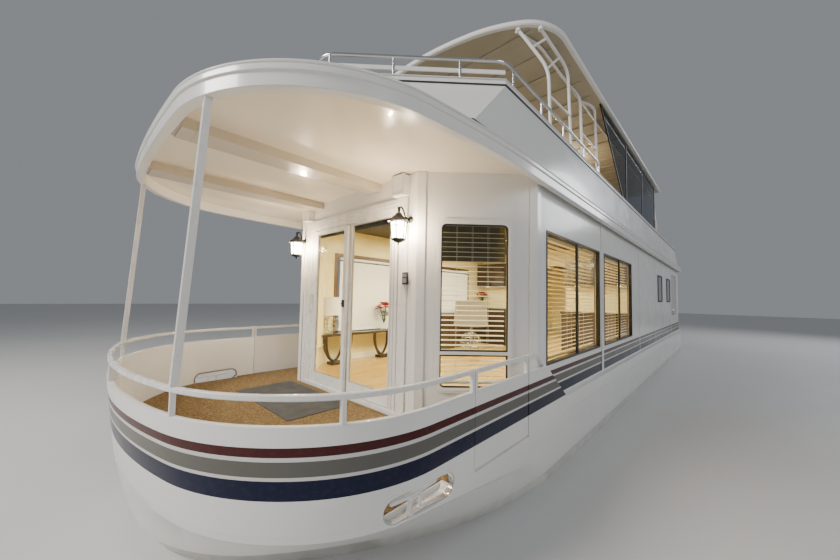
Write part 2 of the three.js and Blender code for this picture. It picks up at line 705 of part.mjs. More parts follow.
// Sliding door: a frame with a casing round it carries the fixed panel; the other panel slides outboard of it.
const frameX = [5918, 6016];
const fixedX = [5922, 5958];
const sliderX = [5966, 6006];
const JAMB = { starboard: 80, port: 145, head: 55, sill: 30 };
const CASING = { y: [-1005, 990], top: 2785 };
const CLEAR_OPENING = {
  y: [DOOR.y[0] + JAMB.starboard, DOOR.y[1] - JAMB.port],
  z: [DOOR.z[0] + JAMB.sill, DOOR.z[1] - JAMB.head],
};
const through = (xs, y, z) => box(xs[0] - 50, xs[1] + 50, ...y, ...z);
const FIXED = { y: [-115, CLEAR_OPENING.y[1] + 5], glassY: [0, 680], glassZ: [790, 2640] };
const casing = box(FRONT_WALL_X + GAP, frameX[1], ...CASING.y, DOOR.z[0], CASING.top);
const doorFrame = join(
  box(...frameX, ...DOOR.y, ...DOOR.z).add(casing).subtract(through(frameX, CLEAR_OPENING.y, CLEAR_OPENING.z)),
  box(...fixedX, ...FIXED.y, CLEAR_OPENING.z[0] - 5, CLEAR_OPENING.z[1] + 5)
    .subtract(through(fixedX, FIXED.glassY, FIXED.glassZ)),
);
piece("door_frame", doorFrame, WHITE);
const glassOf = (xs, y, z) =>
  box((xs[0] + xs[1]) / 2 - 4, (xs[0] + xs[1]) / 2 + 4, y[0] + GAP, y[1] - GAP, z[0] + GAP, z[1] - GAP);
piece("door_fixed_glass", glassOf(fixedX, FIXED.glassY, FIXED.glassZ), GLASS);
const SLIDER = { y: [-834, -45], z: [661, 2649], glassY: [-700, -107], glassZ: [800, 2600] };
piece(
  "door_slider",
  box(...sliderX, ...SLIDER.y, ...SLIDER.z).subtract(through(sliderX, SLIDER.glassY, SLIDER.glassZ)),
  WHITE,
);
piece("door_slider_glass", glassOf(sliderX, SLIDER.glassY, SLIDER.glassZ), GLASS);

// Console table against the starboard wall: one long top on two horseshoe pedestals, each of two bowed legs.
const TABLE = { x: [3550, 5395], y: [-1845, -1580], top: 1145, thick: 40, floor: DECK_Z + 20 + GAP, foot: 45 };
const PEDESTALS = { x: [3980, 5040], legs: [{ y: -1620, half: 270 }, { y: -1740, half: 160 }], foot: 110 };
const BOW = [[1, TABLE.top - 20], [1, 1000], [0.93, 880], [0.7, 770], [0.38, 690], [0, 655]];
const cornered = TABLE.x[1] + TABLE.y[0] - TABLE.y[1];
let table = prism(
  [[TABLE.x[0], TABLE.y[0]], [cornered, TABLE.y[0]], [TABLE.x[1], TABLE.y[1]], [TABLE.x[0], TABLE.y[1]]],
  TABLE.top - TABLE.thick,
  TABLE.top,
);
for (const x of PEDESTALS.x) {
  for (const { y, half } of PEDESTALS.legs) {
    const fore = BOW.map(([share, z]) => [x + half * share, y, z]);
    const aft = BOW.slice(0, -1).map(([share, z]) => [x - half * share, y, z]);
    table = table.add(tube([...fore, ...aft.reverse()], 24, 8, 40));
  }
  const footY = [PEDESTALS.legs[1].y - 40, PEDESTALS.legs[0].y + 30];
  table = table.add(box(x - PEDESTALS.foot, x + PEDESTALS.foot, ...footY, TABLE.floor, TABLE.floor + TABLE.foot));
}
piece("console_table", table, 0x3a2a20);

// Roof: deck slab with two ceiling beams under its overhang, and the rim round it.
const roofPath = (off) => outline(ROOF_PLAN, off, ROOF_AFT_X - off);
const beams = [[330, 560], [-840, -610]].map(([y0, y1]) => box(6004, 7690, y0, y1, CEILING_Z - 80, CEILING_Z + 5));
piece("roof_deck", join(prism(roofPath(-60), CEILING_Z, ROOF_TOP_Z), ...beams), WHITE);
piece(
  "roof_rim",
  band(
    roofPath,
    [[-60 + GAP, RIM_Z], [0, RIM_Z], [0, 2984], [10, 2990], [10, 3022], [2, 3028], [2, 3034], [8, 3040], [6, 3048],
      [-30, 3078], [-50, ROOF_TOP_Z], [-60 + GAP, ROOF_TOP_Z]],
    true,
  ),
  WHITE,
);

// Upper coaming: half beam, bow reach and half width of the flat front at three heights.
const COAMING = [
  { z: ROOF_TOP_Z + GAP, side: 1945, front: 7360, flat: 895 },
  { z: COAMING_KNEE_Z, side: 1860, front: 6820, flat: 715 },
  { z: COAMING_TOP_Z, side: 1855, front: 6812, flat: 712 },
];
function coamingLoop(level, off, aft) {
  const corner = level.front - (level.side - level.flat);
  const k = off * Math.tan(Math.PI / 8);
  const port = [
    [aft - off, level.side + off],
    [corner + k, level.side + off],
    [level.front + off, level.flat + k],
  ];
  return [...port, ...[...port].reverse().map(([x, y]) => [x, -y])];
}
const coamingAft = WING_X + 60;
const coamingOuter = COAMING.map((l) => atZ(coamingLoop(l, 0, coamingAft), l.z));
const coamingInner = [
  { ...COAMING[0], z: COAMING[0].z - 20, off: -55 },
  { ...COAMING[1], z: COAMING[1].z - 60, off: -55 },
  { ...COAMING[1], z: COAMING[1].z - 20, off: -100 },
  { ...COAMING[2], z: COAMING[2].z + 20, off: -100 },
].map((l) => atZ(coamingLoop(l, l.off, coamingAft), l.z));
const ladderGap = box(coamingAft - 50, coamingAft + 200, LADDER.y[0] - 80, LADDER.y[1] + 80, ROOF_TOP_Z - 50, 4000);
piece("upper_coaming", loft(coamingOuter).subtract(loft(coamingInner)).subtract(ladderGap), WHITE);

// Stainless rail over the coaming's cap, from abreast of the helm round the bow, with a flat bar below it
// across the front and the corners.
const RAIL_AFT_X = 2700;
const railLevel = { side: 1838, front: 6785, flat: 703 };
const railLine = coamingLoop(railLevel, 0, RAIL_AFT_X);
let upperRail = tube(
  [
    [RAIL_AFT_X, railLevel.side, COAMING_TOP_Z + GAP],
    ...atZ(railLine, UPPER_RAIL_Z),
    [RAIL_AFT_X, -railLevel.side, COAMING_TOP_Z + GAP],
  ],
  16,
  10,
  90,
);
const MID_BAR = { half: 6, z: [3827, 3864] };
upperRail = upperRail.add(
  band((off) => coamingLoop(railLevel, off, RAIL_AFT_X).slice(1, 5), rectProfile(-MID_BAR.half, MID_BAR.half, ...MID_BAR.z), false),
);
const railCorner = railLevel.front + railLevel.flat;
const onChamfer = (x) => [x, railCorner - x];
const RAIL_POSTS = [
  [railLevel.front, 0],
  onChamfer(6765),
  onChamfer(6365),
  onChamfer(5940),
  [5490, railLevel.side],
  [4850, railLevel.side],
  [4200, railLevel.side],
  [3400, railLevel.side],
];
for (const [x, y] of RAIL_POSTS) {
  for (const s of y ? [-1, 1] : [1]) {
    upperRail = upperRail.add(rod([x, y * s, COAMING_TOP_Z + GAP], [x, y * s, UPPER_RAIL_Z], 12, 8));
  }
}
piece("upper_rail", upperRail, STEEL);

// Hardtop and the tube frames that hold it, one a side.
const hardtopPath = (off) => outline(HARDTOP_PLAN, off, HARDTOP_AFT_X - off);
piece(
  "hardtop",
  loft([
    atZ(hardtopPath(-30), HARDTOP_Z[0]),
    atZ(hardtopPath(0), HARDTOP_Z[0] + 20),
    atZ(hardtopPath(0), HARDTOP_Z[1] - 25),
    atZ(hardtopPath(-40), HARDTOP_Z[1]),
  ]),
  WHITE,
);
const LEG_Y = 1795;
const capZ = COAMING_TOP_Z + GAP;
const legZ = capZ + 8;
const underZ = HARDTOP_Z[0] - 22;
const runZ = HARDTOP_Z[0] - 35;
const legs = [
  [[4490, LEG_Y, legZ], [4532, 1790, 4507], [4730, 1509, underZ]],
  [[3790, LEG_Y, legZ], [3889, 1790, 4833], [4577, 1714, underZ]],
  [[3330, LEG_Y, legZ], [3336, 1770, 4728], [3333, 1606, runZ]],
  [[2600, LEG_Y, legZ], [2665, 1780, 4880], [2760, 1609, runZ]],
  [[-3050, LEG_Y, legZ], [-3050, 1720, 4600], [-3150, 1640, underZ]],
  [[-3440, LEG_Y, legZ], [-3440, 1720, 4700], [-3480, 1640, underZ]],
];
const rungs = [
  [[4505, 1792, 4190], [3822, 1793, 4240]],
  [[4536, 1784, 4517], [4116, 1765, 4891]],
  [[4641, 1635, 4783], [4433, 1730, 4971]],
  [[3336, 1768, 4720], [3095, 1607, runZ]],
  [[3303, 1783, 4200], [2607, 1781, 4200]],
  [[-3050, 1760, 4180], [-3440, 1765, 4180]],
];
const topRun = tube([[4750, 1487, runZ], [4350, 1600, runZ], [-3200, 1640, runZ], [-3470, 1640, runZ]], 19, 10);
let frame = topRun;
for (const [x, y] of [[4733, 1504], [4577, 1714], [-3150, 1640], [-3470, 1640]]) {
  frame = frame.add(rod([x, y, HARDTOP_Z[0] - 40], [x, y, HARDTOP_Z[0] - GAP], 30, 14));
}
for (const line of legs) {
  const [x, y] = line[0];
  frame = frame.add(tube(line, 19, 10, 160));
  frame = frame.add(rod([x, y, capZ], [x, y, capZ + 14], 34, 14));
}
for (const [a, b] of rungs) frame = frame.add(rod(a, b, 14, 8));
pair("hardtop_frame", frame, WHITE);

// Glazed side panels between the coaming and the hardtop, their front edge raked.
const PANEL = { aft: -2950, foot: 810, head: 2450, y: [1800, 1806], z: [capZ, HARDTOP_Z[0] - GAP], edge: 45 };
const rakeAt = (z) => PANEL.foot + ((PANEL.head - PANEL.foot) * (z - PANEL.z[0])) / (PANEL.z[1] - PANEL.z[0]);
const panelShape = (ys, x0, z0, z1, back = 0) =>
  loft(
    ys.map((y) => [
      [x0 ?? rakeAt(z0) - back, y, z0],
      [rakeAt(z0), y, z0],
      [rakeAt(z1), y, z1],
      [x0 ?? rakeAt(z1) - back, y, z1],
    ]),
  );
const barY = [1792, 1814];
let panel = join(
  panelShape(PANEL.y, PANEL.aft, ...PANEL.z),
  panelShape(barY, PANEL.aft, PANEL.z[0], PANEL.z[0] + PANEL.edge),
  panelShape(barY, PANEL.aft, PANEL.z[1] - PANEL.edge, PANEL.z[1]),
  panelShape(barY, undefined, ...PANEL.z, PANEL.edge),
);
const BARS = [PANEL.aft, -1120, 560];
for (const x of BARS) panel = panel.add(box(x, x + 35, ...barY, ...PANEL.z));
pair("deck_screen", panel, GLASS);

// Helm on the roof deck, to starboard.
const HELM = { x: 4300, y: -900 };
const helmSide = [
  [HELM.x - 250, ROOF_TOP_Z + GAP],
  [HELM.x + 200, ROOF_TOP_Z + GAP],
  [HELM.x + 260, 3990],
  [HELM.x + 60, 4150],
  [HELM.x - 250, 3980],
];
piece(
  "helm_console",
  loft([HELM.y - 550, HELM.y + 550].map((y) => helmSide.map(([x, z]) => [x, y, z]))),
  WHITE,
);
const wheelAxis = new THREE.Vector3(-1, 0, 0.5).normalize();
const wheelAt = new THREE.Vector3(HELM.x - 330, HELM.y, 3990);
const wheelRing = new THREE.TorusGeometry(190, 14, 8, 28);
const wheelHub = new THREE.CylinderGeometry(40, 40, 40, 14);
wheelHub.rotateX(Math.PI / 2);
let wheel = fromGeometry(wheelRing).add(fromGeometry(wheelHub));
for (let i = 0; i < 3; i++) {
  const a = (2 * Math.PI * i) / 3 + Math.PI / 2;
  wheel = wheel.add(rod([0, 0, 0], [190 * Math.cos(a), 190 * Math.sin(a), 0], 10, 8));
}
const turn = new THREE.Matrix4().makeBasis(
  new THREE.Vector3(0, 1, 0),
  new THREE.Vector3().crossVectors(wheelAxis, new THREE.Vector3(0, 1, 0)),
  wheelAxis,
);
turn.setPosition(wheelAt);
wheel = wheel.add(rod([0, 0, -78], [0, 0, 0], 12, 12));
piece("steering_wheel", wheel.transform(turn.elements), BLACK);

const SEAT = { x: 3450, y: -900, z: 3580 };
piece(
  "seat_pedestal",
  join(
    rod([SEAT.x, SEAT.y, ROOF_TOP_Z + GAP], [SEAT.x, SEAT.y, ROOF_TOP_Z + 25], 160, 20),
    rod([SEAT.x, SEAT.y, ROOF_TOP_Z + 20], [SEAT.x, SEAT.y, SEAT.z - GAP], 40, 16),
  ),
  STEEL,
);
piece(
  "helm_seat",
  join(
    box(SEAT.x - 230, SEAT.x + 240, SEAT.y - 260, SEAT.y + 260, SEAT.z, SEAT.z + 130),
    loft([
      [[SEAT.x - 230, SEAT.y - 260, SEAT.z + 20], [SEAT.x - 130, SEAT.y - 260, SEAT.z + 20],
        [SEAT.x - 130, SEAT.y + 260, SEAT.z + 20], [SEAT.x - 230, SEAT.y + 260, SEAT.z + 20]],
      [[SEAT.x - 310, SEAT.y - 240, SEAT.z + 650], [SEAT.x - 240, SEAT.y - 240, SEAT.z + 650],
        [SEAT.x - 240, SEAT.y + 240, SEAT.z + 650], [SEAT.x - 310, SEAT.y + 240, SEAT.z + 650]],
    ]),
  ),
  0xf0ece2,
);

// Carriage lanterns either side of the door, each hung from a hooked arm.
const LANTERN = { x: 6150, y: 1010, plateZ: 2545, capZ: [2512, 2580], bodyZ: 2335, cupZ: 2300, tipZ: 2284, top: 2665 };
const hex = (r, z) => {
  const points = [];
  for (let i = 0; i < 6; i++) {
    const a = (Math.PI * (2 * i + 1)) / 6;
    points.push([LANTERN.x + r * Math.cos(a), LANTERN.y + r * Math.sin(a), z]);
  }
  return points;
};
// Section: radius and height, from the tip up to the cap's peak.
const lanternRings = [
  [9, LANTERN.tipZ],
  [24, LANTERN.cupZ],
  [72, LANTERN.bodyZ],
  [78, LANTERN.bodyZ + 4],
  [86, LANTERN.capZ[0] - 8],
  [120, LANTERN.capZ[0]],
  [112, LANTERN.capZ[0] + 14],
  [26, LANTERN.capZ[1]],
];
const lantern = join(
  loft(lanternRings.map(([r, z]) => hex(r, z))),
  rod([FRONT_WALL_X + 16 + GAP, LANTERN.y + 26, LANTERN.plateZ], [FRONT_WALL_X + 40, LANTERN.y + 26, LANTERN.plateZ], 34, 16),
  tube(
    [
      [FRONT_WALL_X + 30, LANTERN.y + 20, LANTERN.plateZ],
      [FRONT_WALL_X + 75, LANTERN.y + 10, LANTERN.plateZ + 30],
      [FRONT_WALL_X + 95, LANTERN.y, LANTERN.top - 9],
      [LANTERN.x, LANTERN.y, LANTERN.top - 9],
      [LANTERN.x, LANTERN.y, LANTERN.capZ[1] - 20],
    ],
    9,
    8,
    40,
  ),
);
pair("lantern", lantern, BLACK);

export default group;
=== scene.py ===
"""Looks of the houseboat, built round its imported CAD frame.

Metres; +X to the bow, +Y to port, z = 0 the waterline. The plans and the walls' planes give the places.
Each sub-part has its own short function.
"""
import math
import random

import bmesh
import bpy
from mathutils import Matrix, Vector
from mathutils.geometry import tessellate_polygon


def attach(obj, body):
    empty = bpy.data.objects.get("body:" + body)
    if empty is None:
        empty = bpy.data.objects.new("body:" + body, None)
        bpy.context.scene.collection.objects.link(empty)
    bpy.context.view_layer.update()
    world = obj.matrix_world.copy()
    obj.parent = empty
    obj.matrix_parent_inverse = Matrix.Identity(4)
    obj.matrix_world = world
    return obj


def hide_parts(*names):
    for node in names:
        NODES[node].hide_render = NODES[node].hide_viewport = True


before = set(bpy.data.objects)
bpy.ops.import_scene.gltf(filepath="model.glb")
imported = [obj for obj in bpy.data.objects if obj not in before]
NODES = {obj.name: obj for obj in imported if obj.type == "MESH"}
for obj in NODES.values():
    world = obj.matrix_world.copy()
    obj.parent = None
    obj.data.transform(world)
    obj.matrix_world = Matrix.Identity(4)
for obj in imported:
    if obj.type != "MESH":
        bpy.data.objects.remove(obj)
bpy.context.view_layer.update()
scene = bpy.context.scene

# Dimensions, as in the part's source
DECK = 0.600  # cockpit deck over the waterline
STERN = -7.5
FRONT = 6.0  # outer face of the cabin's front wall
AFT_WALL = -5.1  # aft face of the cabin's aft wall
WING = -7.1  # aft end of the cabin's side walls
ROOF_AFT = -7.2
CABIN_Y = 1.93  # outer face of the cabin's side walls
HALF = 1.114  # half the front wall, up to the 45 degree corner walls
WALL = 0.06
CEILING = 3.011
ROOF_TOP = 3.085
RIM = 2.905  # lower edge of the roof's rim
BULWARK_TOP = 1.150
BULWARK = 0.036  # thickness
RAIL_TOP = 1.302
RAIL_WIDE, RAIL_HIGH, RAIL_POST = 0.030, 0.032, 0.028
GATE = (5.447, 6.295)  # aft and fore edge
TOUCH = 0.0003  # left between solids that touch
OFF_WALL = 0.0004  # left between trim and the wall behind it
UPRIGHT = (0, 0, 1)
# Plans: reach of the front's middle, then arcs as (radius, bearing off dead ahead where it ends, steps).
BOW_PLAN = (8.029, ((4.067, 14.808, 12), (1.340, 50, 14), (1.102, 90, 14)))
ROOF_PLAN = (7.886, ((16.477, 2.773, 4), (1.217, 83.227, 30), (12.0, 90, 6)))
HARDTOP_PLAN = (5.130, ((4.1, 14.1, 8), (1.89, 32.3, 8), (0.709, 90, 16)))


# Outlines
def plan_point(plan, bearing, off=0.0):
    """The point of a plan at a bearing off dead ahead, off metres outside it."""
    x, y, start = plan[0], 0.0, 0.0
    for r, end, _ in plan[1]:
        x -= r * math.cos(math.radians(start))
        y -= r * math.sin(math.radians(start))
        if bearing <= end:
            a = math.radians(bearing)
            return (x + (r + off) * math.cos(a), y + (r + off) * math.sin(a))
        x += r * math.cos(math.radians(end))
        y += r * math.sin(math.radians(end))
        start = end


def bow_half(plan, off=0.0):
    """From the straight side's start to the centreline."""
    points, start = [plan_point(plan, 0, off)], 0.0
    for _, end, steps in plan[1]:
        points += [plan_point(plan, start + (end - start) * i / steps, off) for i in range(1, steps + 1)]
        start = end
    return points[::-1]


def both_sides(port):
    """A port line and its mirror image, as one outline."""
    return port + [(x, -y) for x, y in reversed(port)]


def outline(plan, off, aft):
    """A plan's whole outline, off metres outside it, with square corners at the stern."""
    half = bow_half(plan, off)
    port = [(aft, half[0][1])] + half
    return port + [(x, -y) for x, y in reversed(port[:-1])]


def rake_in(z):
    """How far the bow's front lies aft of its plan at a height."""
    return 0.065 * max(0.0, BULWARK_TOP - z) / (BULWARK_TOP - DECK) if z > DECK else 0.065 + 0.2 * (DECK - z)


def bow_plan_at(z):
    return (BOW_PLAN[0] - rake_in(z), BOW_PLAN[1])


def low_plan(side, front, r, to=50, steps=20):
    """A plan of the hull under the deck: a bow arc up to a bearing, then one that meets the side."""
    share = math.sin(math.radians(to))
    return (front, ((r, to, steps), ((side - r * share) / (1 - share), 90, steps)))


def rrect(a0, a1, b0, b1, r, steps=5):
    """A rounded rectangle; r is one radius, or four from the lower left corner round."""
    rs = r if hasattr(r, "__len__") else (r,) * 4
    corners = ((a0, b0, 180), (a1, b0, 270), (a1, b1, 0), (a0, b1, 90))
    points = []
    for (a, b, start), rad in zip(corners, rs):
        ca = a + rad * (1 if a == a0 else -1)
        cb = b + rad * (1 if b == b0 else -1)
        for i in range(steps + 1):
            t = math.radians(start + 90 * i / steps)
            points.append((ca + rad * math.cos(t), cb + rad * math.sin(t)))
    return points


def inset(rect, by, r, steps):
    """A rounded rectangle inside (a0, a1, b0, b1) by a margin, or outside it where that is negative."""
    a0, a1, b0, b1 = rect
    return rrect(a0 + by, a1 - by, b0 + by, b1 - by, r, steps)


def fillet(points, radii, steps=5):
    """Rounds each corner of a closed outline."""
    out, n = [], len(points)
    for i, r in enumerate(radii):
        p = Vector(points[i])
        a, b = (Vector(points[i - 1]) - p), (Vector(points[(i + 1) % n]) - p)
        reach = min(r / math.tan(a.angle(b) / 2), a.length * 0.45, b.length * 0.45)
        out += [tuple(q) for q in curve(p + a.normalized() * reach, p, p + b.normalized() * reach, steps)]
    return out


def curve(a, corner, b, steps):
    """Points of a round turn from a to b that is pulled to a corner."""
    shares = [k / steps for k in range(steps + 1)]
    return [a * (1 - t) ** 2 + corner * 2 * t * (1 - t) + b * t * t for t in shares]


def turns(n):
    """The angles of n points round a circle."""
    return [2 * math.pi * i / n for i in range(n)]


def on_side(s, y0, y1):
    """A span of y to port (1) or starboard (-1), from its distances off the centreline."""
    return tuple(sorted((s * y0, s * y1)))


class Plane:
    """Maps (a, b, d) to the row frame: a along the wall, b up, d outwards."""

    def __init__(self, o, u, v=UPRIGHT, n=None):
        self.o, self.u, self.v = Vector(o), Vector(u).normalized(), Vector(v).normalized()
        self.n = Vector(n).normalized() if n else self.u.cross(self.v)

    def at(self, a, b, d=0.0):
        return self.o + self.u * a + self.v * b + self.n * d


OUT = Plane((0, 0, 0), (1, 0, 0), n=(0, 1, 0))
SIDE = Plane((0, CABIN_Y, 0), (1, 0, 0), n=(0, 1, 0))
CORNER = Plane((FRONT, HALF, 0), (-1, 1, 0), n=(1, 1, 0))
FACE = Plane((FRONT, 0, 0), (0, 1, 0), n=(1, 0, 0))


# Mesh building
class Build:
    """Collects the solids of one piece; each face keeps the index of its material."""

    def __init__(self):
        self.verts, self.faces, self.mats = [], [], []

    def add(self, verts, faces, mat=0):
        base = len(self.verts)
        self.verts += [tuple(v) for v in verts]
        self.faces += [tuple(base + i for i in f) for f in faces]
        self.mats += list(mat) if hasattr(mat, "__len__") else [mat] * len(faces)
        return self

    def loft(self, loops, mat=0, closed=False):
        """Skins loops of as many points in turn, with flat ends or closed into a ring."""
        n, m = len(loops[0]), len(loops)
        faces = []
        for k in range(m if closed else m - 1):
            for i in range(n):
                j, l = (i + 1) % n, (k + 1) % m
                faces.append((k * n + i, k * n + j, l * n + j, l * n + i))
        if not closed:
            faces += [tuple(range(n)), tuple(range((m - 1) * n, m * n))]
        return self.add([p for loop in loops for p in loop], faces, mat)

    def prism(self, points, z):
        return self.loft([[(a, b, c) for a, b in points] for c in z])

    def box(self, x, y, z):
        return self.prism([(x[0], y[0]), (x[1], y[0]), (x[1], y[1]), (x[0], y[1])], z)

    def tiled(self, points, z):
        """A prism whose flat ends are cut into triangles, for outlines with notches."""
        n = len(points)
        verts = [(x, y, c) for c in z for x, y in points]
        ends = tessellate_polygon([[Vector((x, y, 0)) for x, y in points]])
        faces = [tuple(base + i for i in t) for base in (0, n) for t in ends]
        faces += [(i, (i + 1) % n, n + (i + 1) % n, n + i) for i in range(n)]
        return self.add(verts, faces)

    def slab(self, plane, points, d, mat=0):
        return self.loft([[plane.at(a, b, c) for a, b in points] for c in d], mat)

    def plate(self, plane, rect, d):
        a0, a1, b0, b1 = rect
        return self.slab(plane, [(a0, b0), (a1, b0), (a1, b1), (a0, b1)], d)

    def ring(self, plane, outer, inner, d):
        assert len(outer) == len(inner), "a ring's two outlines need as many points"
        rows = ((outer, d[0]), (outer, d[1]), (inner, d[1]), (inner, d[0]))
        return self.loft([[plane.at(a, b, c) for a, b in points] for points, c in rows], closed=True)

    def border(self, plane, rect, outer, inner, steps, d):
        """A ring round a rectangle; outer and inner are (margin inside it, corner radius)."""
        return self.ring(plane, inset(rect, *outer, steps), inset(rect, *inner, steps), d)

    def band(self, path, profile, mat=0, closed=False):
        """A wall along an outline; profile gives (offset, z) round its section."""
        rows = [[(x, y, z) for x, y in path(off, z)] for off, z in profile]
        n, m = len(rows[0]), len(rows)
        faces, mats = [], []
        for k in range(m):
            l = (k + 1) % m
            for i in range(n if closed else n - 1):
                j = (i + 1) % n
                faces.append((k * n + i, k * n + j, l * n + j, l * n + i))
                mats.append(mat[k] if hasattr(mat, "__len__") else mat)
        if not closed:
            for end in (0, n - 1):
                faces.append(tuple(k * n + end for k in range(m)))
                mats.append(0)
        return self.add([p for row in rows for p in row], faces, mats)

    def tube(self, points, r, sides=14, bend=0.06, closed=False):
        return self.loft(sweep(eased(points, bend, closed), r, sides, closed), closed=closed)

    def rod(self, a, b, r, sides=16):
        a, b = Vector(a), Vector(b)
        return self.loft([circle(end, b - a, r, sides) for end in (a, b)])

    def turned(self, base, axis, profile, sides=24):
        """profile: (radius, height along the axis) from one end to the other."""
        base, axis = Vector(base), Vector(axis).normalized()
        return self.loft([circle(base + axis * h, axis, max(r, 1e-4), sides) for r, h in profile])

    def ball(self, centre, r, sides):
        steps = [math.pi * i / (sides // 2) for i in range(sides // 2 + 1)]
        return self.turned(centre, UPRIGHT, [(r * math.sin(t), -r * math.cos(t)) for t in steps], sides)

    def mirrored(self):
        made = Build()
        made.verts = [(x, -y, z) for x, y, z in self.verts]
        made.faces = [tuple(reversed(f)) for f in self.faces]
        made.mats = list(self.mats)
        return made

    def make(self, name, looks, body="boat", slot=None, replaces=(), bevel=0.0, angle=32):
        """Makes the piece; looks is one finish, or a tuple of them for the faces' material indices."""
        keys = looks if isinstance(looks, tuple) else (looks,)
        me = bpy.data.meshes.new(name)
        me.from_pydata(self.verts, [], self.faces)
        for key in keys:
            me.materials.append(M[key])
        me.polygons.foreach_set("material_index", self.mats)
        bm = bmesh.new()
        bm.from_mesh(me)
        bmesh.ops.recalc_face_normals(bm, faces=bm.faces)
        bm.to_mesh(me)
        bm.free()
        me.update()
        smooth(me, angle)
        o = bpy.data.objects.new(name, me)
        scene.collection.objects.link(o)
        if bevel:
            soften(o, bevel)
        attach(o, body)
        if replaces:
            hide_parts(*replaces)
        return o

    def make_side(self, side, name, looks, **kw):
        """Makes a port shape on one side."""
        return (self if side == "port" else self.mirrored()).make(f"{name}_{side}", looks, **kw)

    def make_pair(self, name, looks, bodies=("boat", "boat"), replaces=(), **kw):
        for side, body in zip(("port", "starboard"), bodies):
            self.make_side(side, name, looks, body=body, replaces=[f"{n}_{side}" for n in replaces], **kw)


def smooth(me, angle):
    me.shade_smooth()
    me.set_sharp_from_angle(angle=math.radians(angle))


def soften(o, width):
    b = o.modifiers.new("edge", "BEVEL")
    b.width, b.segments, b.limit_method, b.angle_limit = width, 2, "ANGLE", math.radians(40)
    b.harden_normals = True
    b.use_clamp_overlap = True


def aside(axis):
    """A main direction that is well away from an axis."""
    return Vector(UPRIGHT) if abs(axis.z) < 0.9 else Vector((0, 1, 0))


def circle_between(centre, u, w, r, sides):
    """A circle's points, turning from the direction u to w."""
    return [centre + u * (r * math.cos(t)) + w * (r * math.sin(t)) for t in turns(sides)]


def circle(centre, axis, r, sides):
    axis = Vector(axis).normalized()
    ref = aside(axis)
    u = (ref - axis * ref.dot(axis)).normalized()
    return circle_between(centre, u, axis.cross(u), r, sides)


def eased(points, bend, closed=False):
    """A line whose corners are rounded from bend metres before them."""
    v = [Vector(p) for p in points]
    n = len(v)
    out = [] if closed else [v[0]]
    for i in range(0 if closed else 1, n if closed else n - 1):
        here, before, after = v[i], v[i - 1] - v[i], v[(i + 1) % n] - v[i]
        reach = min(bend, before.length * 0.45, after.length * 0.45)
        out += curve(here + before.normalized() * reach, here, here + after.normalized() * reach, 6)
    return out if closed else out + [v[-1]]


def sweep(stops, r, sides, closed=False):
    """Circles along a line, each turned as little as can be from the one before."""
    n, rings, normal = len(stops), [], None
    for i, stop in enumerate(stops):
        before, after = (i - 1, (i + 1) % n) if closed else (max(i - 1, 0), min(i + 1, n - 1))
        t = (stops[after] - stops[before]).normalized()
        if normal is None:
            normal = aside(t)
        normal = (normal - t * normal.dot(t)).normalized()
        rings.append(circle_between(stop, normal, t.cross(normal), r, sides))
    return rings


def cut(o, cutters):
    """Takes the cutters' shapes out of o; the cutters are removed."""
    for c in cutters:
        m = o.modifiers.new("cut", "BOOLEAN")
        m.object, m.operation, m.solver = c, "DIFFERENCE", "EXACT"
    o.data = baked(o)
    o.modifiers.clear()
    for c in cutters:
        bpy.data.objects.remove(c)


def baked(o):
    """The object's mesh with its modifiers applied."""
    return bpy.data.meshes.new_from_object(o.evaluated_get(bpy.context.evaluated_depsgraph_get()))


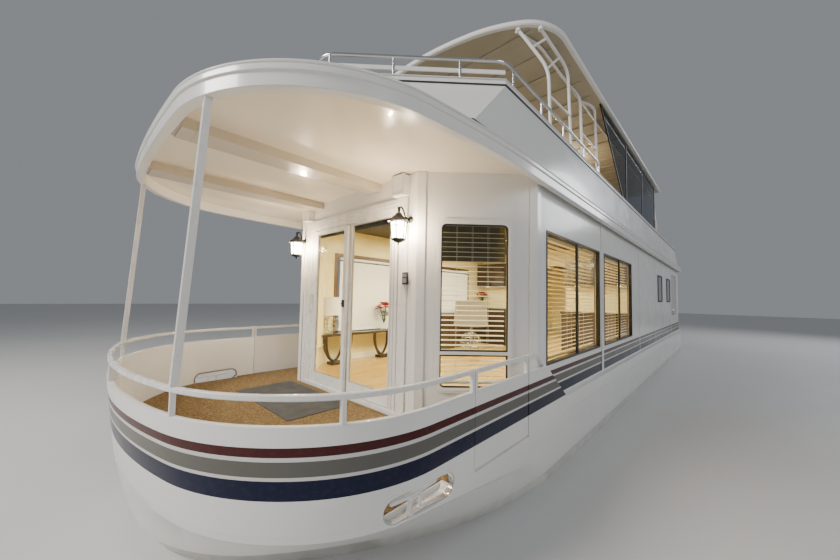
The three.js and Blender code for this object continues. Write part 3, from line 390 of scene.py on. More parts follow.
# Material building
class Nodes:
    """One procedural material, measured in the object's own metres."""

    def __init__(self, name):
        self.m = bpy.data.materials.new(name)
        self.m.use_nodes = True
        self.tree = self.m.node_tree
        self.bsdf = self.tree.nodes["Principled BSDF"]
        self.coord = self.new("ShaderNodeTexCoord").outputs["Object"]

    def new(self, kind, **values):
        node = self.tree.nodes.new(kind)
        for key, value in values.items():
            if key in node.inputs:
                self.put(node.inputs[key], value)
            else:
                setattr(node, key, value)
        return node

    def put(self, socket, value):
        if isinstance(value, bpy.types.NodeSocket):
            self.tree.links.new(value, socket)
        else:
            socket.default_value = value

    def noise(self, scale, detail=4.0, stretch=(1, 1, 1), rough=0.55):
        at = self.new("ShaderNodeMapping", Vector=self.coord, Scale=stretch).outputs[0]
        node = self.new("ShaderNodeTexNoise", Vector=at, Scale=scale, Detail=detail, Roughness=rough)
        return node.outputs["Fac"]

    def math(self, op, a, b=0.0):
        node = self.new("ShaderNodeMath", operation=op)
        for socket, value in zip(node.inputs, (a, b)):
            self.put(socket, value)
        return node.outputs[0]

    def ramp(self, fac, stops, constant=False):
        node = self.new("ShaderNodeValToRGB", Fac=fac)
        r = node.color_ramp
        r.interpolation = "CONSTANT" if constant else "LINEAR"
        for i, (pos, colour) in enumerate(stops):
            e = r.elements[i] if i < 2 else r.elements.new(pos)
            e.position = pos
            e.color = (*colour[:3], 1)
        return node.outputs["Color"]

    def between(self, fac, dark, light):
        """A colour that wanders from a dark one to a light one."""
        return self.ramp(fac, [(0.3, dark), (0.7, light)])

    def mottle(self, fac, colour, low, high):
        return self.between(fac, shade(colour, low), shade(colour, high))

    def mix(self, fac, a, b):
        node = self.new("ShaderNodeMix", data_type="RGBA", blend_type="MIX")
        self.put(node.inputs[0], fac)
        for i, value in ((6, a), (7, b)):
            self.put(node.inputs[i], (*value[:3], 1) if isinstance(value, tuple) else value)
        return node.outputs[2]

    def spread(self, fac, low, high, lo=0.3, hi=0.7):
        """Values from low to high while the factor runs from lo to hi."""
        node = self.new("ShaderNodeMapRange", Value=fac)
        for i, value in ((1, lo), (2, hi), (3, low), (4, high)):
            node.inputs[i].default_value = value
        return node.outputs[0]

    def axis(self, index):
        return self.new("ShaderNodeSeparateXYZ", Vector=self.coord).outputs[index]

    def finish(self, colour, rough, bump, strength, distance, **fixed):
        self.put(self.bsdf.inputs["Base Color"], colour)
        self.put(self.bsdf.inputs["Roughness"], rough)
        node = self.new("ShaderNodeBump", Height=bump, Strength=strength, Distance=distance)
        self.put(self.bsdf.inputs["Normal"], node.outputs[0])
        for key, value in fixed.items():
            self.bsdf.inputs[key.replace("_", " ")].default_value = value
        return self.m


def shade(colour, k):
    return tuple(min(1.0, c * k) for c in colour)


def surface(name, colour, rough, tone, scale, grain, strength, distance=0.0008):
    """A plain finish with mottled colour, uneven gloss and a fine grain."""
    n = Nodes(name)
    base = n.mottle(n.noise(scale), colour, 1 - tone, 1 + tone)
    return n.finish(base, n.spread(n.noise(scale * 4), *rough), n.noise(grain, 3), strength, distance)


# Gelcoat and its stripes
WHITE = (0.80, 0.785, 0.75)
MAROON, GREY = (0.062, 0.012, 0.012), (0.125, 0.12, 0.105)
NAVY, PIN = (0.005, 0.008, 0.032), (0.62, 0.61, 0.58)
# BEIGE, the walls' inner faces: cream made yellower as painted warm lamplight
BEIGE = (0.87, 0.78, 0.44)
BOW_STRIPES = [(0.78, NAVY), (0.88, PIN), (0.898, GREY), (0.976, PIN), (0.997, MAROON), (1.046, None)]
SIDE_STRIPES = [(0.80, NAVY), (0.905, PIN), (0.925, GREY), (1.0, PIN), (1.02, MAROON), (1.07, None)]


def striped(n, base, z, stripes, plain):
    """Worn stripes over a base colour, except where the plain mask is on."""
    lo, hi = stripes[0][0] - 0.02, stripes[-1][0] + 0.02
    fac = n.math("DIVIDE", n.math("SUBTRACT", z, lo), hi - lo)
    stops = [(0.0, WHITE)] + [((level - lo) / (hi - lo), colour or WHITE) for level, colour in stripes]
    bands = n.ramp(fac, stops, constant=True)
    worn = n.mix(n.spread(n.noise(30, 4), 0.0, 0.03, 0.45, 0.75), bands, (0.3, 0.28, 0.25))
    top, bottom = n.math("GREATER_THAN", z, stripes[0][0]), n.math("LESS_THAN", z, stripes[-1][0])
    on = n.math("MULTIPLY", top, bottom)
    if plain:
        on = n.math("MULTIPLY", on, n.math("SUBTRACT", 1.0, plain(n)))
    return n.mix(on, base, worn)


def gelcoat(name, stripes=None, inside=None, grime=False, plain=None):
    """White moulding. stripes: (z, colour) from the lowest up; inside: mask of the beige face."""
    n = Nodes(name)
    base = n.mottle(n.noise(0.7, 4), WHITE, 0.97, 1.02)
    streak = n.noise(9, 5, (1, 1, 0.12))
    base = n.mix(n.spread(streak, 0.0, 0.035, 0.5, 0.8), base, (0.52, 0.47, 0.38))
    z = n.axis(2)
    if grime:
        near_water = n.spread(z, 0.55, 0.0, 0.0, 0.22)
        dirt = n.math("MULTIPLY", near_water, n.spread(n.noise(6, 6, (1, 1, 0.4)), 0.2, 1.0))
        base = n.mix(dirt, base, (0.36, 0.31, 0.2))
    if stripes:
        base = striped(n, base, z, stripes, plain)
    if inside:
        # The inner faces' beige is partly painted warm lamplight
        base = n.mix(inside(n), base, n.mottle(n.noise(2.5), BEIGE, 0.93, 1.06))
    return n.finish(base, n.spread(n.noise(5), 0.14, 0.24), n.noise(40, 3), 0.04, 0.0008,
                    Coat_Weight=0.05 if stripes else 0.3, Coat_Roughness=0.06,
                    Specular_IOR_Level=0.22 if stripes else 0.35)


def within(side=None, diagonal=None, front=None, aft=None):
    """Mask of a wall's inner face, from where its mid-plane is."""

    def mask(n):
        x, y = n.axis(0), n.math("ABSOLUTE", n.axis(1))
        if side:
            inner = n.math("LESS_THAN", y, side)
            return n.math("MULTIPLY", inner, n.math("GREATER_THAN", x, aft)) if aft else inner
        if diagonal:
            return n.math("LESS_THAN", n.math("ADD", x, y), diagonal)
        return n.math("LESS_THAN", x, front) if front else n.math("GREATER_THAN", x, aft)

    return mask


def ceiling_with_painted_light():
    """White moulding painted cream for the lanterns' warm light, with the beams under it a darker cream as
    painted shade.
    """
    n = Nodes("ceiling_painted_warm_light_and_shade")
    base = n.between(n.noise(1.2), (0.785, 0.71, 0.57), (0.815, 0.735, 0.59))
    # Painted shade: the faces under the ceiling's underside, the beams', get a darker cream
    base = n.mix(n.math("LESS_THAN", n.axis(2), CEILING - 0.003), base, (0.56, 0.49, 0.38))
    return n.finish(base, n.spread(n.noise(4.8), 0.16, 0.24), n.noise(60, 3), 0.03, 0.0008, Coat_Weight=0.3)


# Other materials
def carpet_pile():
    n = Nodes("tan_carpet")
    tufts = n.new("ShaderNodeTexVoronoi", Vector=n.coord, Scale=260.0)
    fibre = n.noise(900, 2)
    base = n.between(n.noise(2.2, 5), (0.165, 0.105, 0.045), (0.24, 0.16, 0.07))
    fleck_tones = [(0.36, (0.055, 0.032, 0.013)), (0.5, (0.20, 0.13, 0.055)), (0.66, (0.42, 0.31, 0.15))]
    base = n.mix(0.6, base, n.ramp(n.noise(75, 3), fleck_tones))
    height = n.math("ADD", n.math("MULTIPLY", tufts.outputs["Distance"], 0.7), n.math("MULTIPLY", fibre, 0.5))
    return n.finish(base, n.spread(fibre, 0.85, 1.0), height, 0.8, 0.003, Specular_IOR_Level=0.15)


def ribbed_mat():
    n = Nodes("grey_ribbed_mat")
    ribs = n.new("ShaderNodeTexWave", Vector=n.coord, Scale=38.0, Distortion=0.6, wave_type="BANDS",
                 bands_direction="X").outputs["Fac"]
    fibre = n.noise(700, 2)
    tone = n.between(n.noise(7, 6), (0.055, 0.056, 0.055), (0.105, 0.107, 0.105))
    base = n.mix(n.spread(ribs, 0.0, 0.5, 0.0, 1.0), tone, (0.03, 0.031, 0.032))
    height = n.math("ADD", ribs, n.math("MULTIPLY", fibre, 0.35))
    return n.finish(base, n.spread(fibre, 0.8, 0.98), height, 0.7, 0.003)


def planks(name, light, dark, length, width):
    n = Nodes(name)
    node = n.new("ShaderNodeTexBrick", Vector=n.coord, Scale=1.0)
    node.offset = 0.37
    values = {"Color1": (*light, 1), "Color2": (*dark, 1), "Mortar": (*shade(dark, 0.25), 1),
              "Mortar Size": 0.0016, "Brick Width": length, "Row Height": width, "Bias": 0.1}
    for key, value in values.items():
        node.inputs[key].default_value = value
    grain = n.noise(14, 8, (0.12, 2.4, 1), 0.7)
    base = n.mix(n.spread(grain, 0.0, 0.5, 0.35, 0.7), node.outputs["Color"], shade(dark, 0.45))
    height = n.math("SUBTRACT", n.math("MULTIPLY", grain, 0.2), node.outputs["Fac"])
    gloss = n.spread(grain, 0.22, 0.4)
    return n.finish(base, gloss, height, 0.35, 0.001, Coat_Weight=0.3, Coat_Roughness=0.15)


def clear(name, tint):
    n = Nodes(name)
    smear = n.noise(2.5, 5, (1, 1, 0.3))
    base = n.mottle(smear, tint, 0.96, 1)
    gloss = n.spread(smear, 0.0, 0.02)
    return n.finish(base, gloss, n.noise(0.9, 1), 0.02, 0.001, Transmission_Weight=1.0, IOR=1.08)


def glow(name, colour, power, base=(0.9, 0.86, 0.78), rough=(0.3, 0.5)):
    n = Nodes(name)
    tone = n.mottle(n.noise(30, 3), base, 0.93, 1.05)
    return n.finish(tone, n.spread(n.noise(40), *rough), n.noise(300, 2), 0.15, 0.0005,
                    Emission_Color=(*colour, 1), Emission_Strength=power)


def vinyl():
    n = Nodes("seat_vinyl")
    pores = n.new("ShaderNodeTexVoronoi", Vector=n.coord, Scale=420.0, feature="DISTANCE_TO_EDGE")
    base = n.between(n.noise(5, 5), (0.68, 0.65, 0.58), (0.78, 0.75, 0.68))
    return n.finish(base, n.spread(n.noise(18), 0.38, 0.55), pores.outputs["Distance"], 0.35, 0.0006)


M = {
    "white": gelcoat("white_gelcoat"),
    "hull": gelcoat("hull_gelcoat", grime=True),
    "ceiling": ceiling_with_painted_light(),
    "bow": gelcoat("striped_gelcoat", BOW_STRIPES),
    "side_wall": gelcoat("side_wall_gelcoat", SIDE_STRIPES, within(side=1.90, aft=AFT_WALL),
                         plain=within(side=1.90)),
    "corner_wall": gelcoat("corner_wall_gelcoat", inside=within(diagonal=7.07)),
    "front_wall": gelcoat("front_wall_gelcoat", inside=within(front=5.955)),
    "aft_wall": gelcoat("aft_wall_gelcoat", inside=within(aft=-5.07)),
    "carpet": carpet_pile(),
    "mat": ribbed_mat(),
    "floor_wood": planks("oak_planks", (0.62, 0.41, 0.12), (0.50, 0.31, 0.085), 1.3, 0.12),
    "glass": clear("clear_glass", (0.93, 0.96, 0.95)),
    "tinted": clear("tinted_glass", (0.14, 0.16, 0.21)),
    "vinyl": vinyl(),
}
# The material's name, colour, gloss from and to, mottling, its scale, the grain's scale and strength.
PLAIN = {
    "paint": ("white_paint", (0.79, 0.775, 0.74), (0.24, 0.32), 0.015, 1.5, 60, 0.02),
    "black": ("black_paint", (0.008, 0.0075, 0.007), (0.4, 0.6), 0.25, 9, 120, 0.12),
    "rubber": ("black_gasket", (0.02, 0.02, 0.021), (0.45, 0.65), 0.2, 20, 200, 0.1),
    "steel": ("stainless", (0.66, 0.67, 0.68), (0.12, 0.24), 0.04, 6, 150, 0.04),
    "aluminium": ("aluminium", (0.55, 0.55, 0.54), (0.3, 0.42), 0.05, 8, 160, 0.06),
    "bronze": ("bronze", (0.50, 0.33, 0.16), (0.25, 0.45), 0.14, 18, 80, 0.12),
    "iron": ("engine_iron", (0.22, 0.23, 0.25), (0.5, 0.7), 0.12, 6, 50, 0.3),
    "dark_wood": ("dark_wood", (0.034, 0.019, 0.012), (0.25, 0.42), 0.25, 12, 60, 0.12),
    "deck": ("non_skid", (0.70, 0.68, 0.62), (0.55, 0.75), 0.06, 3, 220, 0.5, 0.0015),
    "plastic": ("dark_plastic", (0.03, 0.03, 0.032), (0.3, 0.45), 0.15, 12, 130, 0.08),
    # The cabin ceiling's lining is near black: painted shade of the unlit ceiling
    "ceiling_wood": ("grey_headliner", (0.045, 0.043, 0.037), (0.6, 0.8), 0.1, 4, 180, 0.2),
    "tan_lining": ("tan_lining", (0.44, 0.39, 0.29), (0.55, 0.75), 0.08, 2.5, 160, 0.2),
    # Dark grey: the door's valance, and painted shade where it stands in the corner window's boards
    "valance": ("grey_valance", (0.10, 0.095, 0.078), (0.7, 0.9), 0.15, 5, 240, 0.3),
    "trim_wood": ("brown_trim", (0.12, 0.055, 0.024), (0.28, 0.42), 0.2, 14, 70, 0.12),
    "dark_glass": ("dark_window", (0.012, 0.014, 0.018), (0.03, 0.07), 0.3, 3, 8, 0.02),
    "window_paint": ("window_frame_paint", (0.028, 0.027, 0.025), (0.35, 0.5), 0.2, 9, 120, 0.1),
    # Cream made yellower as painted warm lamplight
    "cream_panel": ("cream_panel", (0.84, 0.73, 0.40), (0.4, 0.55), 0.05, 3, 80, 0.06),
    "petal": ("red_petals", (0.42, 0.015, 0.02), (0.5, 0.7), 0.3, 60, 200, 0.3),
    "leaf": ("green_leaves", (0.03, 0.09, 0.02), (0.5, 0.7), 0.3, 60, 200, 0.3),
    "studio": ("pale_floor", (0.62, 0.62, 0.61), (0.6, 0.75), 0.02, 0.3, 20, 0.02),
}
COATS = {"paint": 0.2, "dark_wood": 0.3, "trim_wood": 0.2, "dark_glass": 0.6}
# The material's name, its glow's colour and power, then its own colour and gloss.
GLOWING = {
    # Painted light: the blinds' slats glow as if lit from the cabin, and the gold of blind_slats is partly
    # that warm light; the shades, lantern glass and downlights are lamps
    "slat": ("blind_slats", (1.0, 0.76, 0.34), 0.10, (0.80, 0.67, 0.36)),
    "cream_slat": ("cream_blind_slats", (1.0, 0.88, 0.62), 0.06, (0.80, 0.76, 0.66)),
    "white_slat": ("white_blind_slats", (1.0, 0.93, 0.80), 0.35, (0.88, 0.86, 0.80)),
    "dim_shade": ("window_lamp_shade", (1.0, 0.90, 0.78), 0.10, (0.56, 0.52, 0.48), (0.7, 0.9)),
    "lamp_shade": ("lamp_shade", (1.0, 0.93, 0.80), 0.35, (0.74, 0.71, 0.65), (0.7, 0.9)),
    "lit_glass": ("lit_lantern_glass", (1.0, 0.90, 0.70), 22.0),
    "downlight": ("downlight", (1.0, 0.86, 0.62), 8.0),
}
for key, look in PLAIN.items():
    M[key] = surface(*look)
for key, look in GLOWING.items():
    M[key] = glow(*look)


def set_shader(key, socket, value):
    M[key].node_tree.nodes["Principled BSDF"].inputs[socket].default_value = value


for key, weight in COATS.items():
    set_shader(key, "Coat Weight", weight)
for key in ("steel", "aluminium", "bronze"):
    set_shader(key, "Metallic", 1.0)
set_shader("black", "Specular IOR Level", 0.35)

# Camera, floor and light; the camera's place and directions are the photo's, solved from its vanishing points
EYE = (8.266, 3.276, 1.798)
RIGHT, UP = Vector((-0.6816, 0.7315, 0.0196)), Vector((0.0509, 0.0206, 0.9985))
LOOK = Vector((-0.7300, -0.6816, 0.0513))
FLOOR = 60.0  # half the studio floor's side
LANTERN = (6.15, 1.01)  # x and y of the port one


def camera():
    data = bpy.data.cameras.new("camera")
    o = bpy.data.objects.new("camera", data)
    scene.collection.objects.link(o)
    scene.camera = o
    o.matrix_world = Matrix.Translation(EYE) @ Matrix((RIGHT, UP, -LOOK)).transposed().to_4x4()
    data.sensor_width = 36.0
    data.lens = 14.14
    data.clip_start, data.clip_end = 0.05, 400.0


def studio():
    me = bpy.data.meshes.new("floor")
    corners = [(-FLOOR, -FLOOR, 0), (FLOOR, -FLOOR, 0), (FLOOR, FLOOR, 0), (-FLOOR, FLOOR, 0)]
    me.from_pydata(corners, [], [(0, 1, 2, 3)])
    floor = bpy.data.objects.new("floor", me)
    scene.collection.objects.link(floor)
    me.materials.append(M["studio"])
    world = bpy.data.worlds.new("studio")
    scene.world = world
    world.use_nodes = True
    sky = world.node_tree.nodes["Background"].inputs
    sky["Color"].default_value = (0.80, 0.84, 0.90, 1)
    sky["Strength"].default_value = 0.30


def light(name, kind, place_at, power, colour):
    data = bpy.data.lights.new(name, kind)
    data.energy, data.color = power, colour
    o = bpy.data.objects.new(name, data)
    o.location = place_at
    o.visible_camera = o.visible_transmission = False
    scene.collection.objects.link(o)
    return o


def area_light(name, place_at, aim, size, power, colour):
    o = light(name, "AREA", place_at, power, colour)
    o.data.shape, o.data.size = "DISK", size
    o.rotation_euler = (Vector(aim) - Vector(place_at)).to_track_quat("-Z", "Y").to_euler()


def bulb(name, place_at, power, radius, colour):
    light(name, "POINT", place_at, power, colour).data.shadow_soft_size = radius


def lights():
    area_light("key", (17, -3, 9), (5.5, 0, 1.5), 5.0, 1900, (1.0, 0.97, 0.92))
    area_light("fill", (8, 15, 7), (2, 0, 1.8), 7.0, 480, (0.92, 0.95, 1.0))
    area_light("back", (-16, 9, 10), (-4, 0, 2), 7.0, 800, (0.95, 0.97, 1.0))
    for x, power in ((4.3, 210), (2.2, 200), (-1.0, 130)):
        area_light(f"cabin_light_{x:.0f}", (x, 0, 2.93), (x, 0, 0), 1.2, power, (1.0, 0.85, 0.50))
    for s in (-1, 1):
        for d in (-0.13, 0.13):
            at = (LANTERN[0] + 0.01, s * LANTERN[1] + d, 2.43)
            bulb(f"lantern_bulb_{s}_{d}", at, 22, 0.03, (1.0, 0.80, 0.55))
        bulb(f"deck_lamp_{s}", (0.6, s * 0.7, 4.75), 28, 0.10, (1.0, 0.80, 0.50))


camera()
studio()
lights()

# Hull
HAWSE = (6.528, 7.066, 0.568, 0.716)  # aft, fore, lower and upper edge
SIDE_Y = plan_point(BOW_PLAN, 90)[1]
SKIN, INSIDE = SIDE_Y - 0.018, SIDE_Y - BULWARK  # back of the striped skin, and of the bulwark
RAIL_DEPTH = (SIDE_Y - 0.029, SIDE_Y - 0.001)
# Height, plan there, and where it ends aft
HULL_LEVELS = [
    (-0.6, low_plan(0.06, 5.2, 0.05), -7.0),
    (-0.15, low_plan(1.89, 7.65, 1.15), STERN),
    (0.12, low_plan(1.945, 7.815, 1.35), STERN),
    (0.145, low_plan(1.962, 7.845, 1.4), STERN),
    (0.38, low_plan(1.976, 7.915, 1.65), STERN),
    (0.56, bow_plan_at(0.56), STERN),
    (DECK, bow_plan_at(DECK), STERN),
]


def cut_hawses(o):
    cutters = []
    for s in (-1, 1):
        solid = Build().slab(OUT, inset(HAWSE, 0, 0.0735, 10), (1.885 * s, 2.3 * s))
        cutters.append(solid.make(f"cutter_{s}", "white"))
    cut(o, cutters)


def hull():
    b = Build().loft([[(x, y, z) for x, y in outline(plan, 0, aft)] for z, plan, aft in HULL_LEVELS])
    skeg = [(-6.2, -0.76), (-5.6, -0.76), (-4.8, -0.33), (-6.2, -0.33)]
    for y in (-0.9, 0.9):
        b.loft([[(x, y + s * 0.055, z) for x, z in skeg] for s in (-1, 1)])
    o = b.make("hull_shell", "hull", replaces=["hull"], angle=20)
    cut_hawses(o)
    smooth(o.data, 24)


# Bulwark, gates, gunwales and rail
def bulwark():
    z0, z1, t = DECK + TOUCH, BULWARK_TOP, -BULWARK
    profile = [(t, z0), (0.0, z0), (0.0, z1 - 0.008), (-0.003, z1 - 0.002), (-0.008, z1), (t + 0.008, z1),
               (t + 0.003, z1 - 0.002), (t, z1 - 0.008)]
    b = Build()
    b.band(lambda off, z: outline(bow_plan_at(z), off, GATE[1] + TOUCH), profile, mat=[0, 1] + [0] * 6)
    o = b.make("bow_bulwark_shell", ("white", "bow"), replaces=["bow_bulwark"])
    cut_hawses(o)
    smooth(o.data, 32)


def bow_rail():
    z0, z1, w, e = RAIL_TOP - RAIL_HIGH, RAIL_TOP, -RAIL_WIDE, 0.005
    profile = [(w + e, z0), (-e, z0), (0.0, z0 + e), (0.0, z1 - e), (-e, z1), (w + e, z1), (w, z1 - e),
               (w, z0 + e)]
    b = Build().band(lambda off, z: outline(BOW_PLAN, off, GATE[1] + TOUCH), profile)
    h = RAIL_POST / 2
    posts = [(GATE[1] + h + TOUCH, SIDE_Y - RAIL_WIDE / 2)]
    posts += [plan_point(BOW_PLAN, bearing, -RAIL_WIDE / 2) for bearing in (18.67, 61.3)]
    up = (BULWARK_TOP + TOUCH, z0 + 0.006)
    for x, y in posts:
        for s in (-1, 1):
            b.prism(rrect(x - h, x + h, s * y - h, s * y + h, 0.004, 2), up)
    nose = BOW_PLAN[0] - RAIL_WIDE
    b.prism(rrect(nose - 0.028, nose + 0.028, -0.02, 0.02, 0.006, 2), up)
    b.make("bow_rail_tube", "paint", replaces=["bow_rail"])


def gates():
    x0, x1 = GATE[0] + 0.014, GATE[1] - 0.006
    leaf = rrect(x0, x1, DECK + 0.0203, BULWARK_TOP, 0.006, 3)
    b = Build().slab(OUT, leaf, (INSIDE, SKIN)).slab(OUT, leaf, (SKIN, SIDE_Y), mat=1)
    ring_out = rrect(x0, x1, BULWARK_TOP - 0.012, RAIL_TOP, (0.004, 0.004, 0.008, 0.008), 6)
    ring_in = rrect(x0 + RAIL_POST, x1 - RAIL_POST, BULWARK_TOP + 0.004, RAIL_TOP - RAIL_HIGH, 0.012, 6)
    b.ring(OUT, ring_out, ring_in, RAIL_DEPTH)
    for z in (0.72, 1.02):
        b.rod((x1 - 0.004, INSIDE - 0.004, z - 0.04), (x1 - 0.004, INSIDE - 0.004, z + 0.04), 0.006)
    b.box((x0 + 0.03, x0 + 0.09), (INSIDE - 0.012, INSIDE - 0.0005), (0.98, 1.02))
    b.make_pair("gate_leaf", ("white", "bow"), ("port_gate", "starboard_gate"), ["gate"], bevel=0.002)


# The gunwale's sloped fore end runs from its foot to its head.
FOOT, HEAD = (4.515, 0.760), (5.257, RAIL_TOP)


def slope_at(z):
    return FOOT[0] + (z - FOOT[1]) / (HEAD[1] - FOOT[1]) * (HEAD[0] - FOOT[0])


def gunwales():
    z0, top = DECK + TOUCH, FOOT[1]
    inner, side = CABIN_Y + TOUCH, SIDE_Y - 0.0008
    end = [(inner, z0), (side, z0), (side, top - 0.010), (side - 0.003, top - 0.003), (side - 0.009, top),
           (inner, top + 0.012)]
    b = Build().loft([[(x, y, z) for y, z in end] for x in (STERN, FOOT[0] + 0.06)])
    aft = GATE[0]
    shape = [(FOOT[0], z0), (aft, z0), (aft, BULWARK_TOP), (slope_at(BULWARK_TOP), BULWARK_TOP), FOOT]
    b.slab(OUT, shape, (INSIDE, SKIN)).slab(OUT, shape, (SKIN, SIDE_Y), mat=1)
    low, zt = BULWARK_TOP - 0.01, RAIL_TOP
    outer = [(slope_at(low), low), (aft, low), (aft, zt), (slope_at(zt), zt)]
    zb, zi, post = BULWARK_TOP + 0.004, RAIL_TOP - RAIL_HIGH, aft - RAIL_POST
    hole = [(slope_at(zb) + 0.045, zb), (post, zb), (post, zi), (slope_at(zi) + 0.045, zi)]
    b.ring(OUT, fillet(outer, (0.004, 0.004, 0.006, 0.03)), fillet(hole, (0.012,) * 4), RAIL_DEPTH)
    b.make_pair("gunwale_shell", ("white", "bow"), replaces=["gunwale"], bevel=0.002)


def cleats():
    """The bars that stand in the hawse openings."""
    y, z = 1.93, 0.668
    ends = [(6.655, y, z + 0.008), (7.005, y - 0.01, z + 0.008)]
    feet = [(6.785, y, z), (6.88, y, z)]
    b = Build().tube([ends[0], *feet, ends[1]], 0.015, 14, 0.05)
    for end in ends:
        b.ball(end, 0.0152, 12)
    for x, _, _ in feet:
        b.turned((x, y, HAWSE[2] + TOUCH), UPRIGHT,
                 [(0.024, 0), (0.024, 0.006), (0.013, 0.012), (0.012, 0.06), (0.014, 0.098)], 16)
    b.make_pair("cleat", "paint", replaces=["bow_cleat"])


def on_bow(x, z, off):
    """A point on the bulwark's skin, off metres outside it."""
    cx = plan_point(bow_plan_at(z), 90)[0]
    r = BOW_PLAN[1][2][0]
    a = math.asin(min(1.0, max(0.0, (x - cx) / r)))
    n = (math.sin(a), math.cos(a))
    px = x if x <= cx else cx + r * n[0]
    return (px + n[0] * off, SIDE_Y - r + r * n[1] + n[1] * off, z)


def hawse_trim():
    """A rim round each hawse opening, and a liner through it that stays over the deck."""
    out, inn = inset(HAWSE, -0.012, 0.086, 10), inset(HAWSE, 0.002, 0.071, 10)
    lining, hole = inset(HAWSE, 0.004, 0.069, 10), inset(HAWSE, 0.007, 0.066, 10)
    above = [(x, max(z, DECK + 0.009)) for x, z in out]
    within_hole = [(x, max(z, DECK + 0.010)) for x, z in hole]

    def wrapped(b, *rows):
        return b.loft([[on_bow(x, z, d) for x, z in points] for points, d in rows], closed=True)

    wrapped(Build(), (out, -0.002), (out, 0.002), (inn, 0.004), (inn, -0.030)).make_pair(
        "hawse_rim", "white", slot="white_paint")
    b = wrapped(Build(), (lining, 0.001), (hole, 0.001), (hole, -0.0375), (lining, -0.0375))
    wrapped(b, (above, -0.0365), (above, -0.0385), (within_hole, -0.0385), (within_hole, -0.0365))
    b.make_pair("hawse_liner", "steel")


def carpet():
    off = -BULWARK - 0.009
    plan = bow_plan_at(DECK)
    side, (cx, _), r = SIDE_Y + off, plan_point(plan, 90), BOW_PLAN[1][2][0]
    lo, hi = HAWSE[0] - 0.011, HAWSE[1] + 0.011
    fore_end = (hi, SIDE_Y - r + math.sqrt((r + off) ** 2 - (hi - cx) ** 2))
    notch = [(lo, side), (lo, 1.874), (hi, 1.874), fore_end]
    port = [(6.03, side)] + notch + [q for q in bow_half(plan, off) if q[0] > hi]
    edge = port + [(x, -y) for x, y in reversed(port[:-1])]
    aft_edge = [(5.205, side), (5.205, 1.937), (6.004, 1.12)]
    pts = edge + both_sides(aft_edge)[::-1]
    b = Build().tiled(pts, (DECK + 0.0004, DECK + 0.0066))
    o = b.make("deck_carpet_pile", "carpet", replaces=["deck_carpet"], bevel=0.002)


def door_mat():
    x, y, z = (6.092, 6.788), (-1.148, 0.238), (DECK + 0.0071, DECK + 0.0152)
    b = Build().prism(rrect(*x, *y, 0.02, 4), z)
    o = b.make("door_mat_pad", "mat", replaces=["door_mat"], bevel=0.003)


# Front wall, door and lanterns
def corner_posts():
    """Trim along the upright edges of each corner wall."""
    b = Build()
    k, t = math.sqrt(0.5), 0.014
    fore = ((0, -1), (1, 0), (-k, k), (k, k))
    aft = ((k, -k), (k, k), (-1, 0), (0, 1))
    for along, reach, directions in ((0.0, 0.062, fore), (1.154, 0.07, aft)):
        a, a_n, d, d_n = [Vector(v) for v in directions]
        o2 = CORNER.at(along, 0).to_2d()
        across = (a_n + d_n).normalized()
        far = d * reach * 1.25
        near, knee = a * reach, across * (t / math.cos(math.pi / 8))
        pts = [near + a_n * OFF_WALL, near + a_n * t, knee]
        pts += [far + d_n * t, far + d_n * OFF_WALL, across * OFF_WALL]
        b.prism([tuple(o2 + p) for p in pts], (DECK + 0.008, CEILING - 0.002))
    b.make_pair("corner_post_trim", "white", bevel=0.004)


# The opening's sides, and the glass of each panel as (y from and to, z from and to)
DOORWAY = (-0.84, 0.745)
FIXED_PANE = (0.0, 0.68, 0.79, 2.64)
SLIDER_PANE = (-0.70, -0.107, 0.80, 2.60)


def door_frame():
    """Casing, its inner step, the frame round both panels, and the fixed panel's sash."""
    b = Build()
    for outer, inner, r_out, r_in, steps, d in (
            ((-1.005, 0.99, 0.6253, 2.785), (-0.952, 0.935, 0.6653, 2.735), 0.004, 0.003, 2, (TOUCH, 0.020)),
            ((-0.955, 0.938, 0.6253, 2.738), (-0.905, 0.87, 0.645, 2.69), 0.003, 0.003, 2, (TOUCH, 0.012)),
            ((-0.92, 0.89, 0.625, 2.71), (*DOORWAY, 0.655, 2.655), 0.002, 0.003, 2, (-0.082, 0.006)),
            ((-0.115, 0.75, 0.65, 2.66), FIXED_PANE, 0.003, 0.008, 3, (-0.078, -0.042))):
        b.ring(FACE, rrect(*outer, r_out, steps), rrect(*inner, r_in, steps), d)
    b.make("door_frame_profile", "paint", replaces=["door_frame"], bevel=0.0025)
    gasket(FIXED_PANE, -0.0635, "fixed", "boat")
    b = Build().box((5.963, 6.014), DOORWAY, (0.6552, 0.6600)).box((5.984, 5.988), DOORWAY, (0.6552, 0.6608))
    b.make("door_track", "aluminium", bevel=0.001)
    b = Build()
    for y, x in ((0.757, 6.0065), (0.80, 6.0065), (0.86, 6.0125)):
        b.box((x, x + 0.002), (y, y + 0.006), (0.67, 2.64))
    b.make("door_jamb_beads", "aluminium")


def gasket(pane, depth, name, body):
    b = Build().border(FACE, pane, (0, 0.008), (0.009, 0.006), 3, (depth - 0.004, depth + 0.014))
    b.make("door_gasket_" + name, "aluminium", body)


